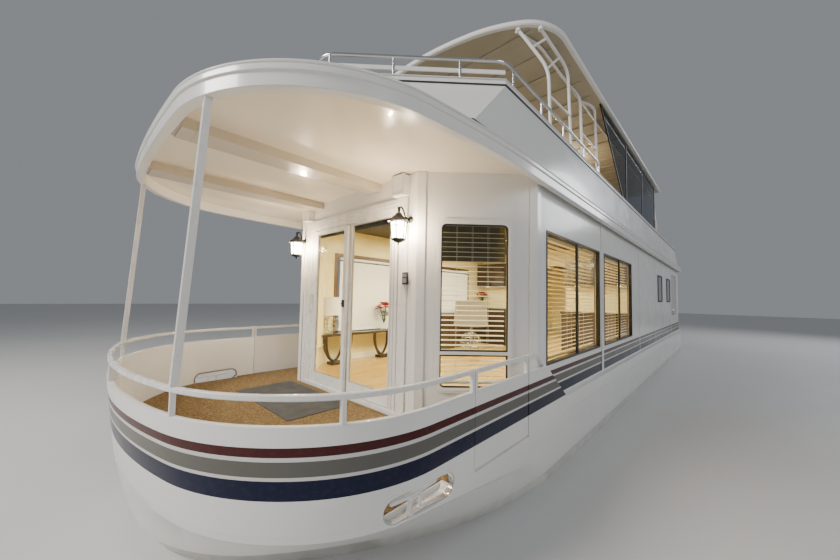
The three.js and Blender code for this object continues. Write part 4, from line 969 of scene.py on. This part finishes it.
def door_slider():
    sash = rrect(-0.834, -0.045, 0.661, 2.649, 0.004, 3)
    b = Build().ring(FACE, sash, rrect(*SLIDER_PANE, 0.008, 3), (-0.034, 0.006))
    b.make("door_slider_sash", "paint", "front_slider", replaces=["door_slider"], bevel=0.004)
    gasket(SLIDER_PANE, -0.018, "slider", "front_slider")
    y, low, high = -0.80, 1.58, 1.81
    b = Build().tube([(6.006, y, low), (6.045, y, low + 0.012), (6.045, y, high - 0.012), (6.006, y, high)],
                     0.011, 12, 0.02)
    for z in (low, high):
        b.turned((6.0055, y, z), (1, 0, 0), [(0.019, 0), (0.019, 0.004), (0.012, 0.008)], 16)
    b.make("door_pull", "paint", "front_slider")
    b = Build().box((6.0065, 6.022), (-0.097, -0.055), (1.66, 1.745))
    b.rod((6.022, -0.076, 1.70), (6.038, -0.076, 1.70), 0.011)
    b.make("door_latch", "plastic", "front_slider", bevel=0.003)


def wall_fittings():
    """The bell beside the door and the speakers over the lanterns."""
    Build().slab(FACE, rrect(0.955, 1.03, 1.915, 2.035, 0.01, 3), (0.0205, 0.038)).make(
        "bell_plate", "plastic", bevel=0.003)
    b = Build().slab(FACE, rrect(0.967, 1.018, 1.93, 1.975, 0.006, 3), (0.038, 0.043))
    b.slab(FACE, rrect(0.967, 1.018, 1.985, 2.02, 0.006, 3), (0.038, 0.042))
    b.make("bell_buttons", "aluminium", bevel=0.001)
    box = (0.83, 1.0, 2.79, 3.0)
    Build().slab(FACE, inset(box, 0, 0.012, 4), (0.001, 0.09)).make_pair("speaker_box", "white", bevel=0.006)
    Build().border(FACE, box, (0.012, 0.010), (0.022, 0.008), 4, (0.09, 0.093)).make_pair(
        "speaker_front", "paint", bevel=0.001)


def lanterns():
    """Six-sided carriage lanterns, each hung from an arm with a ring."""
    x, y = LANTERN

    def corner(i, r, z):
        a = math.radians(60 * i + 30)
        return (x + r * math.cos(a), y + r * math.sin(a), z)

    def hood(b, *rows):
        return b.loft([[corner(i, r * 0.9, z) for i in range(6)] for r, z in rows])

    b = Build()
    hood(b, (0.118, 2.505), (0.12, 2.511), (0.118, 2.518), (0.085, 2.535), (0.05, 2.565), (0.03, 2.585))
    finial = [(0.028, 0), (0.03, 0.006), (0.012, 0.014), (0.011, 0.03), (0.014, 0.036), (0.006, 0.042)]
    b.turned((x, y, 2.58), UPRIGHT, finial, 16)
    hood(b, (0.092, 2.498), (0.095, 2.506), (0.095, 2.512))
    for i in range(6):
        b.rod(corner(i, 0.067, 2.338), corner(i, 0.081, 2.505), 0.0055, 8)
        for r, z in ((0.067, 2.342), (0.077, 2.46)):
            b.rod(corner(i, r, z), corner(i + 1, r, z), 0.004, 6)
    hood(b, (0.022, 2.306), (0.055, 2.318), (0.078, 2.332), (0.078, 2.340))
    drop = [(0.003, 0), (0.011, 0.005), (0.012, 0.012), (0.007, 0.018), (0.02, 0.026)]
    rose = [(0.034, 0), (0.034, 0.006), (0.026, 0.012), (0.014, 0.024)]
    b.turned((x, y, 2.284), UPRIGHT, drop, 14).turned((6.0163, y + 0.026, 2.545), (1, 0, 0), rose)
    b.tube([(6.03, y + 0.02, 2.545), (6.075, y + 0.012, 2.56), (6.10, y + 0.002, 2.64), (6.125, y, 2.655),
            (x, y, 2.640), (x, y, 2.618)], 0.008, 10, 0.02)
    ring = [(x + 0.016 * math.cos(t), y, 2.632 + 0.016 * math.sin(t)) for t in turns(12)]
    b.tube(ring, 0.0035, 8, 0.003, closed=True)
    b.make_pair("lantern_frame", "black", replaces=["lantern"])
    hood(Build(), (0.070, 2.344), (0.083, 2.500)).make_pair("lantern_panes", "lit_glass")


# Windows, each as (along the wall from and to, z from and to)
CORNER_WINDOW = (0.228, 0.878, 0.955, 2.505)
CORNER_BAR = (1.262, 1.292)  # the bar across the corner window
SIDE_WINDOWS = [(3.05, 4.94, 1.14, 2.50), (0.90, 2.80, 1.14, 2.50)]
SMALL_WINDOWS = [(-3.08, -2.34, 1.79, 2.50), (-4.76, -4.02, 1.79, 2.50)]


def corner_windows():
    a0, a1, z0, z1 = CORNER_WINDOW
    low, high = CORNER_BAR
    b = Build().border(CORNER, CORNER_WINDOW, (-0.05, 0.085), (0, 0.05), 8, (OFF_WALL, 0.020))
    b.border(CORNER, CORNER_WINDOW, (-0.028, 0.07), (0.002, 0.048), 8, (0.012, 0.026))
    b.plate(CORNER, (a0 + 0.001, a1 - 0.001, low, high), (-0.03, 0.024))
    b.make_pair("corner_window_frame", "white", slot="white_paint", bevel=0.003)
    b = Build()
    tight, wide = 0.004, 0.05
    for span, r in (((z0, low), (wide, wide, tight, tight)), ((high, z1), (tight, tight, wide, wide))):
        inner = tuple(max(q - 0.012, 0.002) for q in r)
        b.border(CORNER, (a0, a1, *span), (0.001, r), (0.015, inner), 6, (-0.006, 0.010))
    b.make_pair("corner_window_gasket", "rubber", bevel=0.001)


def side_windows():
    b = Build()
    for pane in SIDE_WINDOWS:
        x0, x1, z0, z1 = pane
        b.border(SIDE, pane, (-0.007, 0.01), (0.016, 0.012), 3, (OFF_WALL, 0.007))
        b.border(SIDE, pane, (0.001, 0.004), (0.016, 0.012), 3, (-0.05, 0.004))
        mid = (x0 + x1) / 2
        b.plate(SIDE, (mid - 0.017, mid + 0.017, z0 + 0.015, z1 - 0.015), (-0.02, 0.008))
    b.make_pair("side_window_frame", "window_paint", bevel=0.002)
    borders, panes = Build(), Build()
    for pane in SMALL_WINDOWS:
        borders.border(SIDE, pane, (0, 0.05), (0.035, 0.03), 6, (OFF_WALL, 0.014))
        panes.slab(SIDE, inset(pane, 0.036, 0.029, 6), (OFF_WALL, 0.006))
    borders.make_pair("small_window_frame", "black", bevel=0.002)
    panes.make_pair("small_window_pane", "dark_glass")


def wall_battens():
    b = Build()
    for x, w, proud in ((2.925, 0.085, 0.010), (0.15, 0.03, 0.005), (-1.9, 0.03, 0.005), (-5.0, 0.03, 0.005)):
        b.slab(SIDE, rrect(x - w / 2, x + w / 2, 0.805, RIM + 0.09, 0.004, 2), (OFF_WALL, proud))
    b.make_pair("wall_batten", "white", bevel=0.002)


def slats(b, plane, rect, tilt, depth=-0.10):
    """One blind: tilted slats, head rail, bottom rail and cords."""
    a0, a1, z0, z1 = rect
    t = math.radians(tilt)
    du, dz = 0.025 * math.cos(t), 0.025 * math.sin(t)
    section = [(-du, -dz), (0, 0.004), (du, dz), (du, dz + 0.0015), (0, 0.0055), (-du, -dz + 0.0015)]
    for i in range(int((z1 - z0 - 0.05) / 0.048)):
        z = z0 + 0.03 + i * 0.048
        b.loft([[plane.at(a, z + q, depth + p) for p, q in section] for a in (a0, a1)])
    b.plate(plane, (a0, a1, z1 - 0.035, z1), (depth - 0.03, depth + 0.03))
    b.plate(plane, (a0, a1, z0, z0 + 0.016), (depth - 0.025, depth + 0.025))
    for k in range(1, 4):
        a = a0 + (a1 - a0) * k / 4
        for d in (depth - 0.027, depth + 0.027):
            b.plate(plane, (a - 0.0008, a + 0.0008, z0, z1), (d - 0.0006, d + 0.0006))


def blinds():
    """Slats behind each window; the starboard ones are closed."""
    # The slats glow with painted lamplight from the cabin
    for side, tilt, look in (("port", 10, "slat"), ("starboard", 72, "white_slat")):
        b = Build()
        for x0, x1, z0, z1 in SIDE_WINDOWS:
            slats(b, SIDE, (x0 + 0.03, x1 - 0.03, z0 + 0.02, z1 - 0.02), tilt)
        b.make_side(side, "blinds", look, slot="white_paint")
    for side, tilt, look in (("port", -8, "cream_slat"), ("starboard", 80, "slat")):
        b = Build()
        slats(b, CORNER, (0.24, 0.866, 0.97, 2.55), tilt)
        b.make_side(side, "corner_blind", look, slot="white_paint")
    # Dark boards behind the top of the corner window: painted shade for the cabin's unlit top
    b = Build()
    for k in range(3):
        z = 2.16 + 0.135 * k
        b.plate(CORNER, (0.21, 0.90, z, z + 0.131), (-0.166, -0.152))
    b.make("corner_window_painted_shade", "valance", bevel=0.004)


# Inside the cabin
FLOOR_TOP = DECK + 0.0215
BULKHEAD = 0.1
COUNTER = 1.54
TABLE_TOP = 1.1454


def cabin_shell():
    """Ceiling with its downlights, window casings and baseboards."""
    inner = [(AFT_WALL + 0.066, 1.86), (5.14, 1.86), (5.905, 1.09)]
    # A near-black panel under the ceiling: painted shade
    Build().prism(both_sides(inner), (CEILING - 0.016, CEILING - 0.004)).make("cabin_ceiling", "ceiling_wood")
    b = Build()
    for x in (4.9, 3.5, 2.1, 0.7):
        for y in (-1.2, 0.0, 1.2):
            b.turned((x, y, CEILING - 0.022), UPRIGHT, [(0.055, 0), (0.055, 0.006)], 20)
    b.make("cabin_downlights", "downlight")
    casing, base = Build(), Build()
    for s in (-1, 1):
        plane = Plane((0, s * (CABIN_Y - WALL), 0), (1, 0, 0), n=(0, -s, 0))
        for pane in SIDE_WINDOWS:
            casing.border(plane, pane, (-0.06, 0.004), (0, 0.004), 2, (OFF_WALL, 0.016))
        base.box((AFT_WALL + 0.07, 5.14), on_side(s, 1.857, 1.8696), (DECK + 0.021, DECK + 0.12))
    casing.make("window_casing", "trim_wood", bevel=0.002)
    base.make("baseboard", "paint", bevel=0.003)


def door_boards():
    b = Build()
    for z, d in ((2.585, -0.135), (2.63, -0.141)):
        b.plate(FACE, (-0.89, 0.86, z, z + 0.038), (d, -0.100))
    b.make("door_valance", "valance", bevel=0.006)


def bulkhead():
    """The saloon's far wall, open in the middle."""
    thick, top = (BULKHEAD, BULKHEAD + 0.04), CEILING - 0.02
    b = Build().box(thick, (-1.84, -0.45), (FLOOR_TOP, top)).box(thick, (0.45, 1.84), (FLOOR_TOP, top))
    b.box(thick, (-0.45, 0.45), (2.62, top)).make("saloon_bulkhead", "cream_panel", bevel=0.002)


def galley():
    """Wall cupboards with lights under them, over a counter on each side of the bulkhead's opening."""
    x = BULKHEAD + 0.041
    cupboards, lamps = Build(), Build()
    for s in (-1, 1):
        for k in range(3):
            y = 0.55 + 0.43 * k
            cupboards.box((x, x + 0.319), on_side(s, y, y + 0.42), (2.12, 2.72))
            cupboards.box((x + 0.319, x + 0.337), on_side(s, y + 0.012, y + 0.408), (2.135, 2.705))
            lamps.turned((x + 0.159, s * (0.75 + 0.42 * k), 2.105), UPRIGHT, [(0.04, 0), (0.04, 0.012)], 20)
        cupboards.box((x, x + 0.579), on_side(s, 0.55, 1.84), (FLOOR_TOP, COUNTER - 0.04))
        cupboards.box((x, x + 0.609), on_side(s, 0.53, 1.84), (COUNTER - 0.04, COUNTER))
    cupboards.make("galley_cupboards", "dark_wood", bevel=0.004)
    lamps.make("galley_lights", "downlight")


def sideboard():
    """A long cupboard with four doors, and a framed card on it."""
    b = Build().box((1.25, 3.25), (-1.79, -1.42), (FLOOR_TOP, 1.40))
    b.box((1.23, 3.27), (-1.795, -1.40), (1.40, 1.44))
    for k in range(4):
        b.box((1.27 + 0.49 * k, 1.74 + 0.49 * k), (-1.42, -1.405), (DECK + 0.1, 1.37))
    b.make("sideboard", "dark_wood", bevel=0.004)
    stand, rect = Plane((2.6, -1.62, 1.4405), (0.8, 0.6, 0)), (-0.16, 0.16, 0.0, 0.42)
    b = Build().border(stand, rect, (0, 0.004), (0.03, 0.003), 2, (-0.012, 0.012))
    b.make("picture_frame", "trim_wood", bevel=0.002)
    Build().slab(stand, inset(rect, 0.0305, 0.002, 2), (-0.006, 0.002)).make(
        "picture_card", "cream_panel", bevel=0.001)


def lamp(name, x, y, z, ball_r, shade_r, shade_z, cover):
    """A table lamp: a ball of wire on a foot, under a drum shade."""
    b = Build().turned((x, y, z), UPRIGHT, [(0.065, 0), (0.065, 0.008), (0.02, 0.018), (0.012, 0.03)], 24)
    centre = Vector((x, y, z + 0.03 + ball_r))

    def on_ball(a, t):
        return centre + Vector((math.cos(a) * math.sin(t), math.sin(a) * math.sin(t), math.cos(t))) * ball_r

    wires = [[on_ball(math.pi * k / 6, t) for t in turns(24)] for k in range(6)]
    wires += [[on_ball(a, t) for a in turns(24)] for t in (0.5, 1.0, 1.57, 2.14, 2.64)]
    for wire in wires:
        b.tube(wire, 0.003, 6, 0.001, closed=True)
    low, high = shade_z
    b.rod((x, y, z + 0.03), (x, y, low + 0.1), 0.006, 10).make(name + "_base", "steel")
    top_r = shade_r * 0.93
    rows = ((shade_r, low), (top_r, high), (top_r - 0.004, high), (shade_r - 0.004, low))
    b = Build().loft([circle(Vector((x, y, h)), UPRIGHT, r, 40) for r, h in rows], closed=True)
    b.turned((x, y, low + 0.05), UPRIGHT, [(0.02, 0), (0.03, 0.03), (0.03, 0.07), (0.012, 0.09)], 16)
    b.make(name + "_shade", cover)


def blade(b, root, bearing, direction, widest, reach, half):
    """A petal or a leaf: four corners, 1.5 mm thick."""
    side = Vector((-math.sin(bearing), math.cos(bearing), 0)) * half
    middle = root + direction * widest
    flat = [root, middle - side, root + direction * reach, middle + side]
    b.loft([flat, [q + Vector((0, 0, 0.0015)) for q in flat]])


def flowers(name, x, y, z, tall, seed):
    """Cut flowers in a vase; tall is how far the highest one stands over the surface."""
    rnd = random.Random(seed)
    vase = [(0.05, 0), (0.07, 0.04), (0.078, 0.13), (0.055, 0.21), (0.066, 0.235)]
    Build().turned((x, y, z), UPRIGHT, vase).make(name + "_vase", "glass")
    heads, leaves = Build(), Build()
    for _ in range(22):
        a, lean = rnd.uniform(0, 2 * math.pi), 0.16 * math.sqrt(rnd.uniform(0.02, 1.0))
        dx, dy = lean * math.cos(a), lean * math.sin(a)
        top = Vector((x + dx, y + dy, z + tall - 4.5 * lean * lean - rnd.uniform(0, 0.06)))
        leaves.tube([(x, y, z + 0.12), (x + dx * 0.3, y + dy * 0.3, z + 0.24), top], 0.003, 6, 0.05)
        for p in range(10):
            t, up = 2 * math.pi * p / 10 + a, 0.05 + 0.4 * (p % 2)
            petal = Vector((math.cos(t) * math.cos(up), math.sin(t) * math.cos(up), math.sin(up)))
            blade(heads, top, t, petal, 0.038, 0.075, 0.017)
        for _ in range(2):
            t = rnd.uniform(0, 2 * math.pi)
            root = Vector((x + dx * 0.4, y + dy * 0.4, z + rnd.uniform(0.26, 0.36)))
            blade(leaves, root, t, Vector((math.cos(t), math.sin(t), 0.15)).normalized(), 0.05, 0.13, 0.024)
    heads.make(name + "_heads", "petal")
    leaves.make(name + "_leaves", "leaf")


# Roof and upper works
def roof():
    profile = [(-0.0597, RIM), (-0.004, RIM), (0.0, RIM + 0.004), (0.0, 2.982), (0.003, 2.986),
               (0.010, 2.989), (0.012, 2.993), (0.012, 3.018), (0.009, 3.023), (0.002, 3.026), (0.002, 3.034),
               (0.008, 3.037), (0.009, 3.043), (0.004, 3.050), (-0.030, 3.077), (-0.044, ROOF_TOP),
               (-0.0597, ROOF_TOP)]
    b = Build().band(lambda off, z: outline(ROOF_PLAN, off, ROOF_AFT - off), profile, closed=True)
    b.make("roof_rim_moulding", "white", replaces=["roof_rim"], angle=24)
    b = Build()
    for y in ((0.33, 0.56), (-0.84, -0.61)):
        for x0, x1, low in ((7.6904, 7.782, 0.0), (7.7822, 7.802, 0.010)):
            b.box((x0, x1), y, (CEILING - 0.08 + low, CEILING - 0.0004))
    b.make("ceiling_beam_ends", "ceiling", bevel=0.002)


# The coaming's foot, knee and top: height, side, front, and how wide its straight front is to each side.
COAMING = [(ROOF_TOP + TOUCH, 1.945, 7.36, 0.895), (3.70, 1.86, 6.82, 0.715), (3.757, 1.855, 6.812, 0.712)]
COAMING_AFT = WING + 0.06
CAP = 3.7575
CAP_TOP = CAP + 0.0105
HARDTOP = (5.030, 5.100)  # its underside and top


def coaming_loop(level, off=0.0, aft=COAMING_AFT):
    _, side, front, flat = level
    corner, k = front - (side - flat), off * math.tan(math.pi / 8)
    return both_sides([(aft - off, side + off), (corner + k, side + off), (front + off, flat + k)])


def coaming_trim():
    """Black strips along the coaming's foot and knee, the foot one partly painted shade of the gap under the
    rim, and its cap, open across the stern.
    """

    def strip(b, level, profile):
        return b.band(lambda off, z: coaming_loop(level, off, COAMING_AFT + off), profile)

    foot, knee, top = COAMING
    b = strip(Build(), knee, [(-0.01, 3.694), (0.008, 3.694), (0.008, 3.712), (-0.01, 3.712)])
    # The foot strip is partly a black seal and partly painted shade for the gap between the rim and the
    # coaming
    strip(b, foot, [(-0.01, 3.0858), (0.012, 3.0858), (0.007, 3.104), (-0.01, 3.104)])
    b.make("coaming_strips", "rubber", bevel=0.002)
    section = [(-0.104, CAP), (0.006, CAP), (0.010, CAP + 0.004), (0.008, CAP + 0.010), (-0.106, CAP + 0.010)]
    strip(Build(), top, section).make("coaming_cap", "white", bevel=0.002)


def upper_rail():
    top, side, front, flat, aft = 3.95, 1.838, 6.785, 0.703, 2.7
    level = (0, side, front, flat)
    line = [(x, y, top) for x, y in coaming_loop(level, 0, aft)]
    b = Build().tube([(aft, side, CAP_TOP), *line, (aft, -side, CAP_TOP)], 0.016, 16, 0.09)
    posts = [(front, 0.0)] + [(x, front + flat - x) for x in (6.765, 6.365, 5.94)]
    posts += [(x, side) for x in (5.49, 4.85, 4.2, 3.4)]
    for x, y in posts:
        for s in (-1, 1) if y else (1,):
            b.rod((x, y * s, CAP_TOP), (x, y * s, top - 0.003), 0.012, 12)
            b.turned((x, y * s, CAP_TOP - 0.0005), UPRIGHT, [(0.026, 0), (0.026, 0.004), (0.014, 0.010)], 16)
    b.make("upper_rail_tube", "steel", replaces=["upper_rail"])
    bar = [(-0.006, 3.827), (0.006, 3.827), (0.006, 3.864), (-0.006, 3.864)]
    b = Build().band(lambda off, z: coaming_loop(level, off, aft)[1:5], bar)
    b.make("upper_rail_bar", "paint", bevel=0.001)


def hardtop():
    low, high = HARDTOP
    rows = [(-0.03, low), (-0.010, low + 0.004), (0.0, low + 0.016), (0.0, high - 0.022),
            (-0.006, high - 0.010), (-0.022, high - 0.002), (-0.042, high)]
    b = Build().loft([[(x, y, z) for x, y in outline(HARDTOP_PLAN, off, -3.6 - off)] for off, z in rows])
    b.make("hardtop_shell", "white", replaces=["hardtop"], angle=24)
    b = Build()
    for k in range(18):
        x = 4.6 - 0.46 * k
        wide = 1.75 if k else 1.62
        b.box((x - 0.03, x + 0.03), (-wide, wide), (low - 0.018, low - 0.0004))
    b.make("hardtop_ribs", "tan_lining", bevel=0.006)
    Build().prism(outline(HARDTOP_PLAN, -0.05, -3.55), (low - 0.0035, low - TOUCH)).make(
        "hardtop_lining", "tan_lining")


def hardtop_frames():
    """Legs, rungs and the run under the hardtop, of round tube."""
    under, run = HARDTOP[0] - 0.022, HARDTOP[0] - 0.035
    leg_z, ly = CAP_TOP + 0.004, 1.795
    legs = [
        [(4.49, ly, leg_z), (4.532, 1.79, 4.507), (4.73, 1.509, under)],
        [(3.79, ly, leg_z), (3.889, 1.79, 4.833), (4.577, 1.714, under)],
        [(3.33, ly, leg_z), (3.336, 1.77, 4.728), (3.333, 1.606, run)],
        [(2.60, ly, leg_z), (2.665, 1.78, 4.88), (2.76, 1.609, run)],
        [(-3.05, ly, leg_z), (-3.05, 1.72, 4.60), (-3.15, 1.64, under)],
        [(-3.44, ly, leg_z), (-3.44, 1.72, 4.70), (-3.48, 1.64, under)],
    ]
    rungs = [
        ((4.505, 1.792, 4.19), (3.822, 1.793, 4.24)), ((4.536, 1.784, 4.517), (4.116, 1.765, 4.891)),
        ((4.641, 1.635, 4.783), (4.433, 1.73, 4.971)), ((3.336, 1.768, 4.72), (3.095, 1.607, run)),
        ((3.303, 1.783, 4.2), (2.607, 1.781, 4.2)), ((-3.05, 1.76, 4.18), (-3.44, 1.765, 4.18)),
    ]
    b = Build()
    b.tube([(4.75, 1.487, run), (4.35, 1.6, run), (-3.2, 1.64, run), (-3.47, 1.64, run)], 0.019, 16, 0.12)
    for x, y in ((4.733, 1.504), (4.577, 1.714), (-3.15, 1.64), (-3.47, 1.64)):
        b.rod((x, y, run - 0.004), (x, y, HARDTOP[0] - 0.0005), 0.03, 18)
    flange = [(0.034, 0), (0.034, 0.006), (0.022, 0.014)]
    for line in legs:
        b.tube(line, 0.019, 16, 0.16)
        b.turned((line[0][0], ly, CAP_TOP - 0.0005), UPRIGHT, flange, 18)
    for p, q in rungs:
        b.rod(p, q, 0.014, 12)
    b.make_pair("frame_tubes", "paint", replaces=["hardtop_frame"])


def screens():
    """Glazed screens under the hardtop, raked at their fore edge."""
    low, high = CAP_TOP, HARDTOP[0] - 0.0004
    foot, head, aft, edge = (0.81, 3.7573), (2.45, HARDTOP[0]), -2.95, 0.045
    y = (1.792, 1.814)

    def rake(z):
        return foot[0] + (head[0] - foot[0]) * (z - foot[1]) / (head[1] - foot[1])

    def strip(z0, z1, aft_of=None, cut_back=0.0):
        """A level stretch up to the raked edge, or a stretch beside that edge."""
        ends = [aft, aft] if aft_of is None else [rake(z0) - aft_of, rake(z1) - aft_of]
        return [(ends[0], z0), (rake(z0) - cut_back, z0), (rake(z1) - cut_back, z1), (ends[1], z1)]

    b = Build().slab(OUT, strip(low, low + edge), y).slab(OUT, strip(high - edge, high), y)
    b.slab(OUT, strip(low, high, aft_of=edge), y)
    for x in (aft, -1.12, 0.56):
        b.box((x, x + 0.035), y, (low, high))
    b.make_pair("screen_frame", "black", replaces=["deck_screen"], bevel=0.003)
    (_, z0), fore_low, fore_high, (_, z1) = strip(low + 0.03, high - 0.03, cut_back=0.03)
    Build().slab(OUT, [(aft + 0.02, z0), fore_low, fore_high, (aft + 0.02, z1)], (1.8, 1.806)).make_pair(
        "screen_pane", "tinted")


# Helm
HELM_Y = -0.9


def helm():
    side = [(4.05, 3.0853), (4.50, 3.0853), (4.56, 3.99), (4.36, 4.15), (4.05, 3.98)]
    rounded = fillet(side, (0.004, 0.004, 0.05, 0.05, 0.04))
    Build().loft([[(x, y, z) for x, z in rounded] for y in (-1.45, -0.35)]).make(
        "helm_console_shell", "white", replaces=["helm_console"], bevel=0.01)
    face = Plane((4.05, HELM_Y, 3.98), (0, 1, 0), v=(0.31, 0, 0.17), n=(-0.48, 0, 0.877))
    b = Build().slab(face, rrect(-0.45, 0.45, 0.04, 0.29, 0.03, 5), (0.0005, 0.006))
    for a in (-0.32, -0.16, 0.16, 0.32):
        b.turned(face.at(a, 0.2, 0.006), face.n, [(0.045, 0), (0.045, 0.006), (0.038, 0.008)], 24)
    b.make("helm_dash", "plastic", bevel=0.002)


def steering_wheel():
    axis, centre, r = Vector((-1, 0, 0.5)).normalized(), Vector((3.97, HELM_Y, 3.99)), 0.19
    across = Vector((0, 1, 0))
    b = Build().tube(circle_between(centre, across, axis.cross(across), r, 48), 0.014, 12, 0.001, closed=True)
    b.turned(centre - axis * 0.02, axis, [(0.02, 0), (0.04, 0.004), (0.04, 0.03), (0.03, 0.04)], 20)
    b.rod(centre - axis * 0.078, centre, 0.012, 12)
    for tip in circle_between(centre, axis.cross(across), -across, r, 3):
        b.rod(centre, tip, 0.010, 10)
    b.make("wheel_rim", "plastic", "wheel", replaces=["steering_wheel"])


def grown(name, shape, voxel=0.008, pressure=4.0, cap=0.014, last_frame=20):
    """A stuffed form: the closed shape is remeshed, blown up by cloth pressure, and capped."""
    o = shape.make(name, "vinyl", "seat")
    remesh = o.modifiers.new("remesh", "REMESH")
    remesh.mode, remesh.voxel_size = "VOXEL", voxel
    o.data = baked(o)
    o.modifiers.clear()
    o.data.materials.clear()
    o.data.materials.append(M["vinyl"])
    rest = [v.co.copy() for v in o.data.vertices]
    cloth = o.modifiers.new("cloth", "CLOTH")
    s = cloth.settings
    s.use_pressure, s.uniform_pressure_force = True, pressure
    s.effector_weights.gravity = 0
    s.mass, s.tension_stiffness, s.compression_stiffness, s.bending_stiffness = 0.3, 25, 25, 0.5
    cloth.point_cache.frame_start, cloth.point_cache.frame_end = 1, last_frame
    for f in range(1, last_frame + 1):
        scene.frame_set(f)
    final = baked(o)
    o.modifiers.clear()
    for v, p in zip(final.vertices, rest):
        d = v.co - p
        if d.length > cap:
            v.co = p + d.normalized() * cap
    o.data = final
    scene.frame_set(1)
    smooth(final, 60)
    fine = o.modifiers.new("subdiv", "SUBSURF")
    fine.levels = fine.render_levels = 1
    return o


def seat():
    x, y, z = 3.45, HELM_Y, 3.58
    base = Build().prism(rrect(x - 0.20, x + 0.225, y - 0.245, y + 0.245, 0.06, 6), (z + 0.02, z + 0.115))
    Build().prism(rrect(x - 0.2, x + 0.2, y - 0.2, y + 0.2, 0.03, 4), (z, z + 0.022)).make(
        "seat_pan", "plastic", "seat", bevel=0.003)
    loops = []
    for t, level in ((0, z + 0.125), (1, z + 0.63)):
        cx, half = x - 0.165 - 0.10 * t, 0.235 - 0.01 * t
        loops.append([(cx + a, y + b, level) for a, b in rrect(-0.045, 0.045, -half, half, 0.035, 5)])
    cushion = grown("seat_cushion", base)
    rest = grown("seat_backrest", Build().loft(loops))
    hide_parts("helm_seat")


# The solids that need nothing but a finish, and the bevels of some; a name may stand for a pair of sides.
CARRIED = {
    "iron": ["engine"],
    "bronze": ["propeller"],
    "steel": ["rudder", "seat_pedestal", "stern_rail", "roof_ladder"],
    "deck": ["swim_platform", "aft_deck"],
    "paint": ["roof_post"],
    "floor_wood": ["cabin_sole"],
    "front_wall": ["front_wall"],
    "corner_wall": ["corner_wall"],
    "side_wall": ["side_wall"],
    "aft_wall": ["aft_wall"],
    "ceiling": ["roof_deck"],
    "white": ["aft_door", "upper_coaming"],
    "dark_wood": ["console_table"],
    "tinted": ["aft_door_glass"],
    "glass": ["corner_glass", "side_glass_fore", "side_glass_mid", "door_fixed_glass", "door_slider_glass"],
}
BEVELS = {"engine": 0.01, "swim_platform": 0.008, "roof_post": 0.006, "rudder": 0.006, "console_table": 0.003,
          "aft_door": 0.003}


def carried():
    for look, names in CARRIED.items():
        for name in names:
            for node in (name, name + "_port", name + "_starboard"):
                if node not in NODES:
                    continue
                o = NODES[node]
                o.data.materials.clear()
                o.data.materials.append(M[look])
                if name in BEVELS:
                    soften(o, BEVELS[name])


for part in (hull, bulwark, bow_rail, gates, gunwales, cleats, hawse_trim, carpet, door_mat, corner_posts,
             door_frame, door_slider, wall_fittings, lanterns, corner_windows, side_windows, wall_battens,
             blinds, cabin_shell, door_boards, bulkhead, galley, sideboard):
    part()
lamp("console_lamp", 5.165, -1.66, TABLE_TOP, 0.135, 0.142, (1.465, 1.765), "lamp_shade")
lamp("window_lamp", 4.96, 1.03, 1.125, 0.12, 0.2, (1.47, 1.755), "dim_shade")
flowers("table_flowers", 3.98, -1.67, TABLE_TOP, 0.54, 7)
flowers("galley_flowers", 0.60, -1.58, COUNTER + 0.0005, 0.45, 11)
for part in (roof, coaming_trim, upper_rail, hardtop, hardtop_frames, screens, helm, steering_wheel, seat,
             carried):
    part()
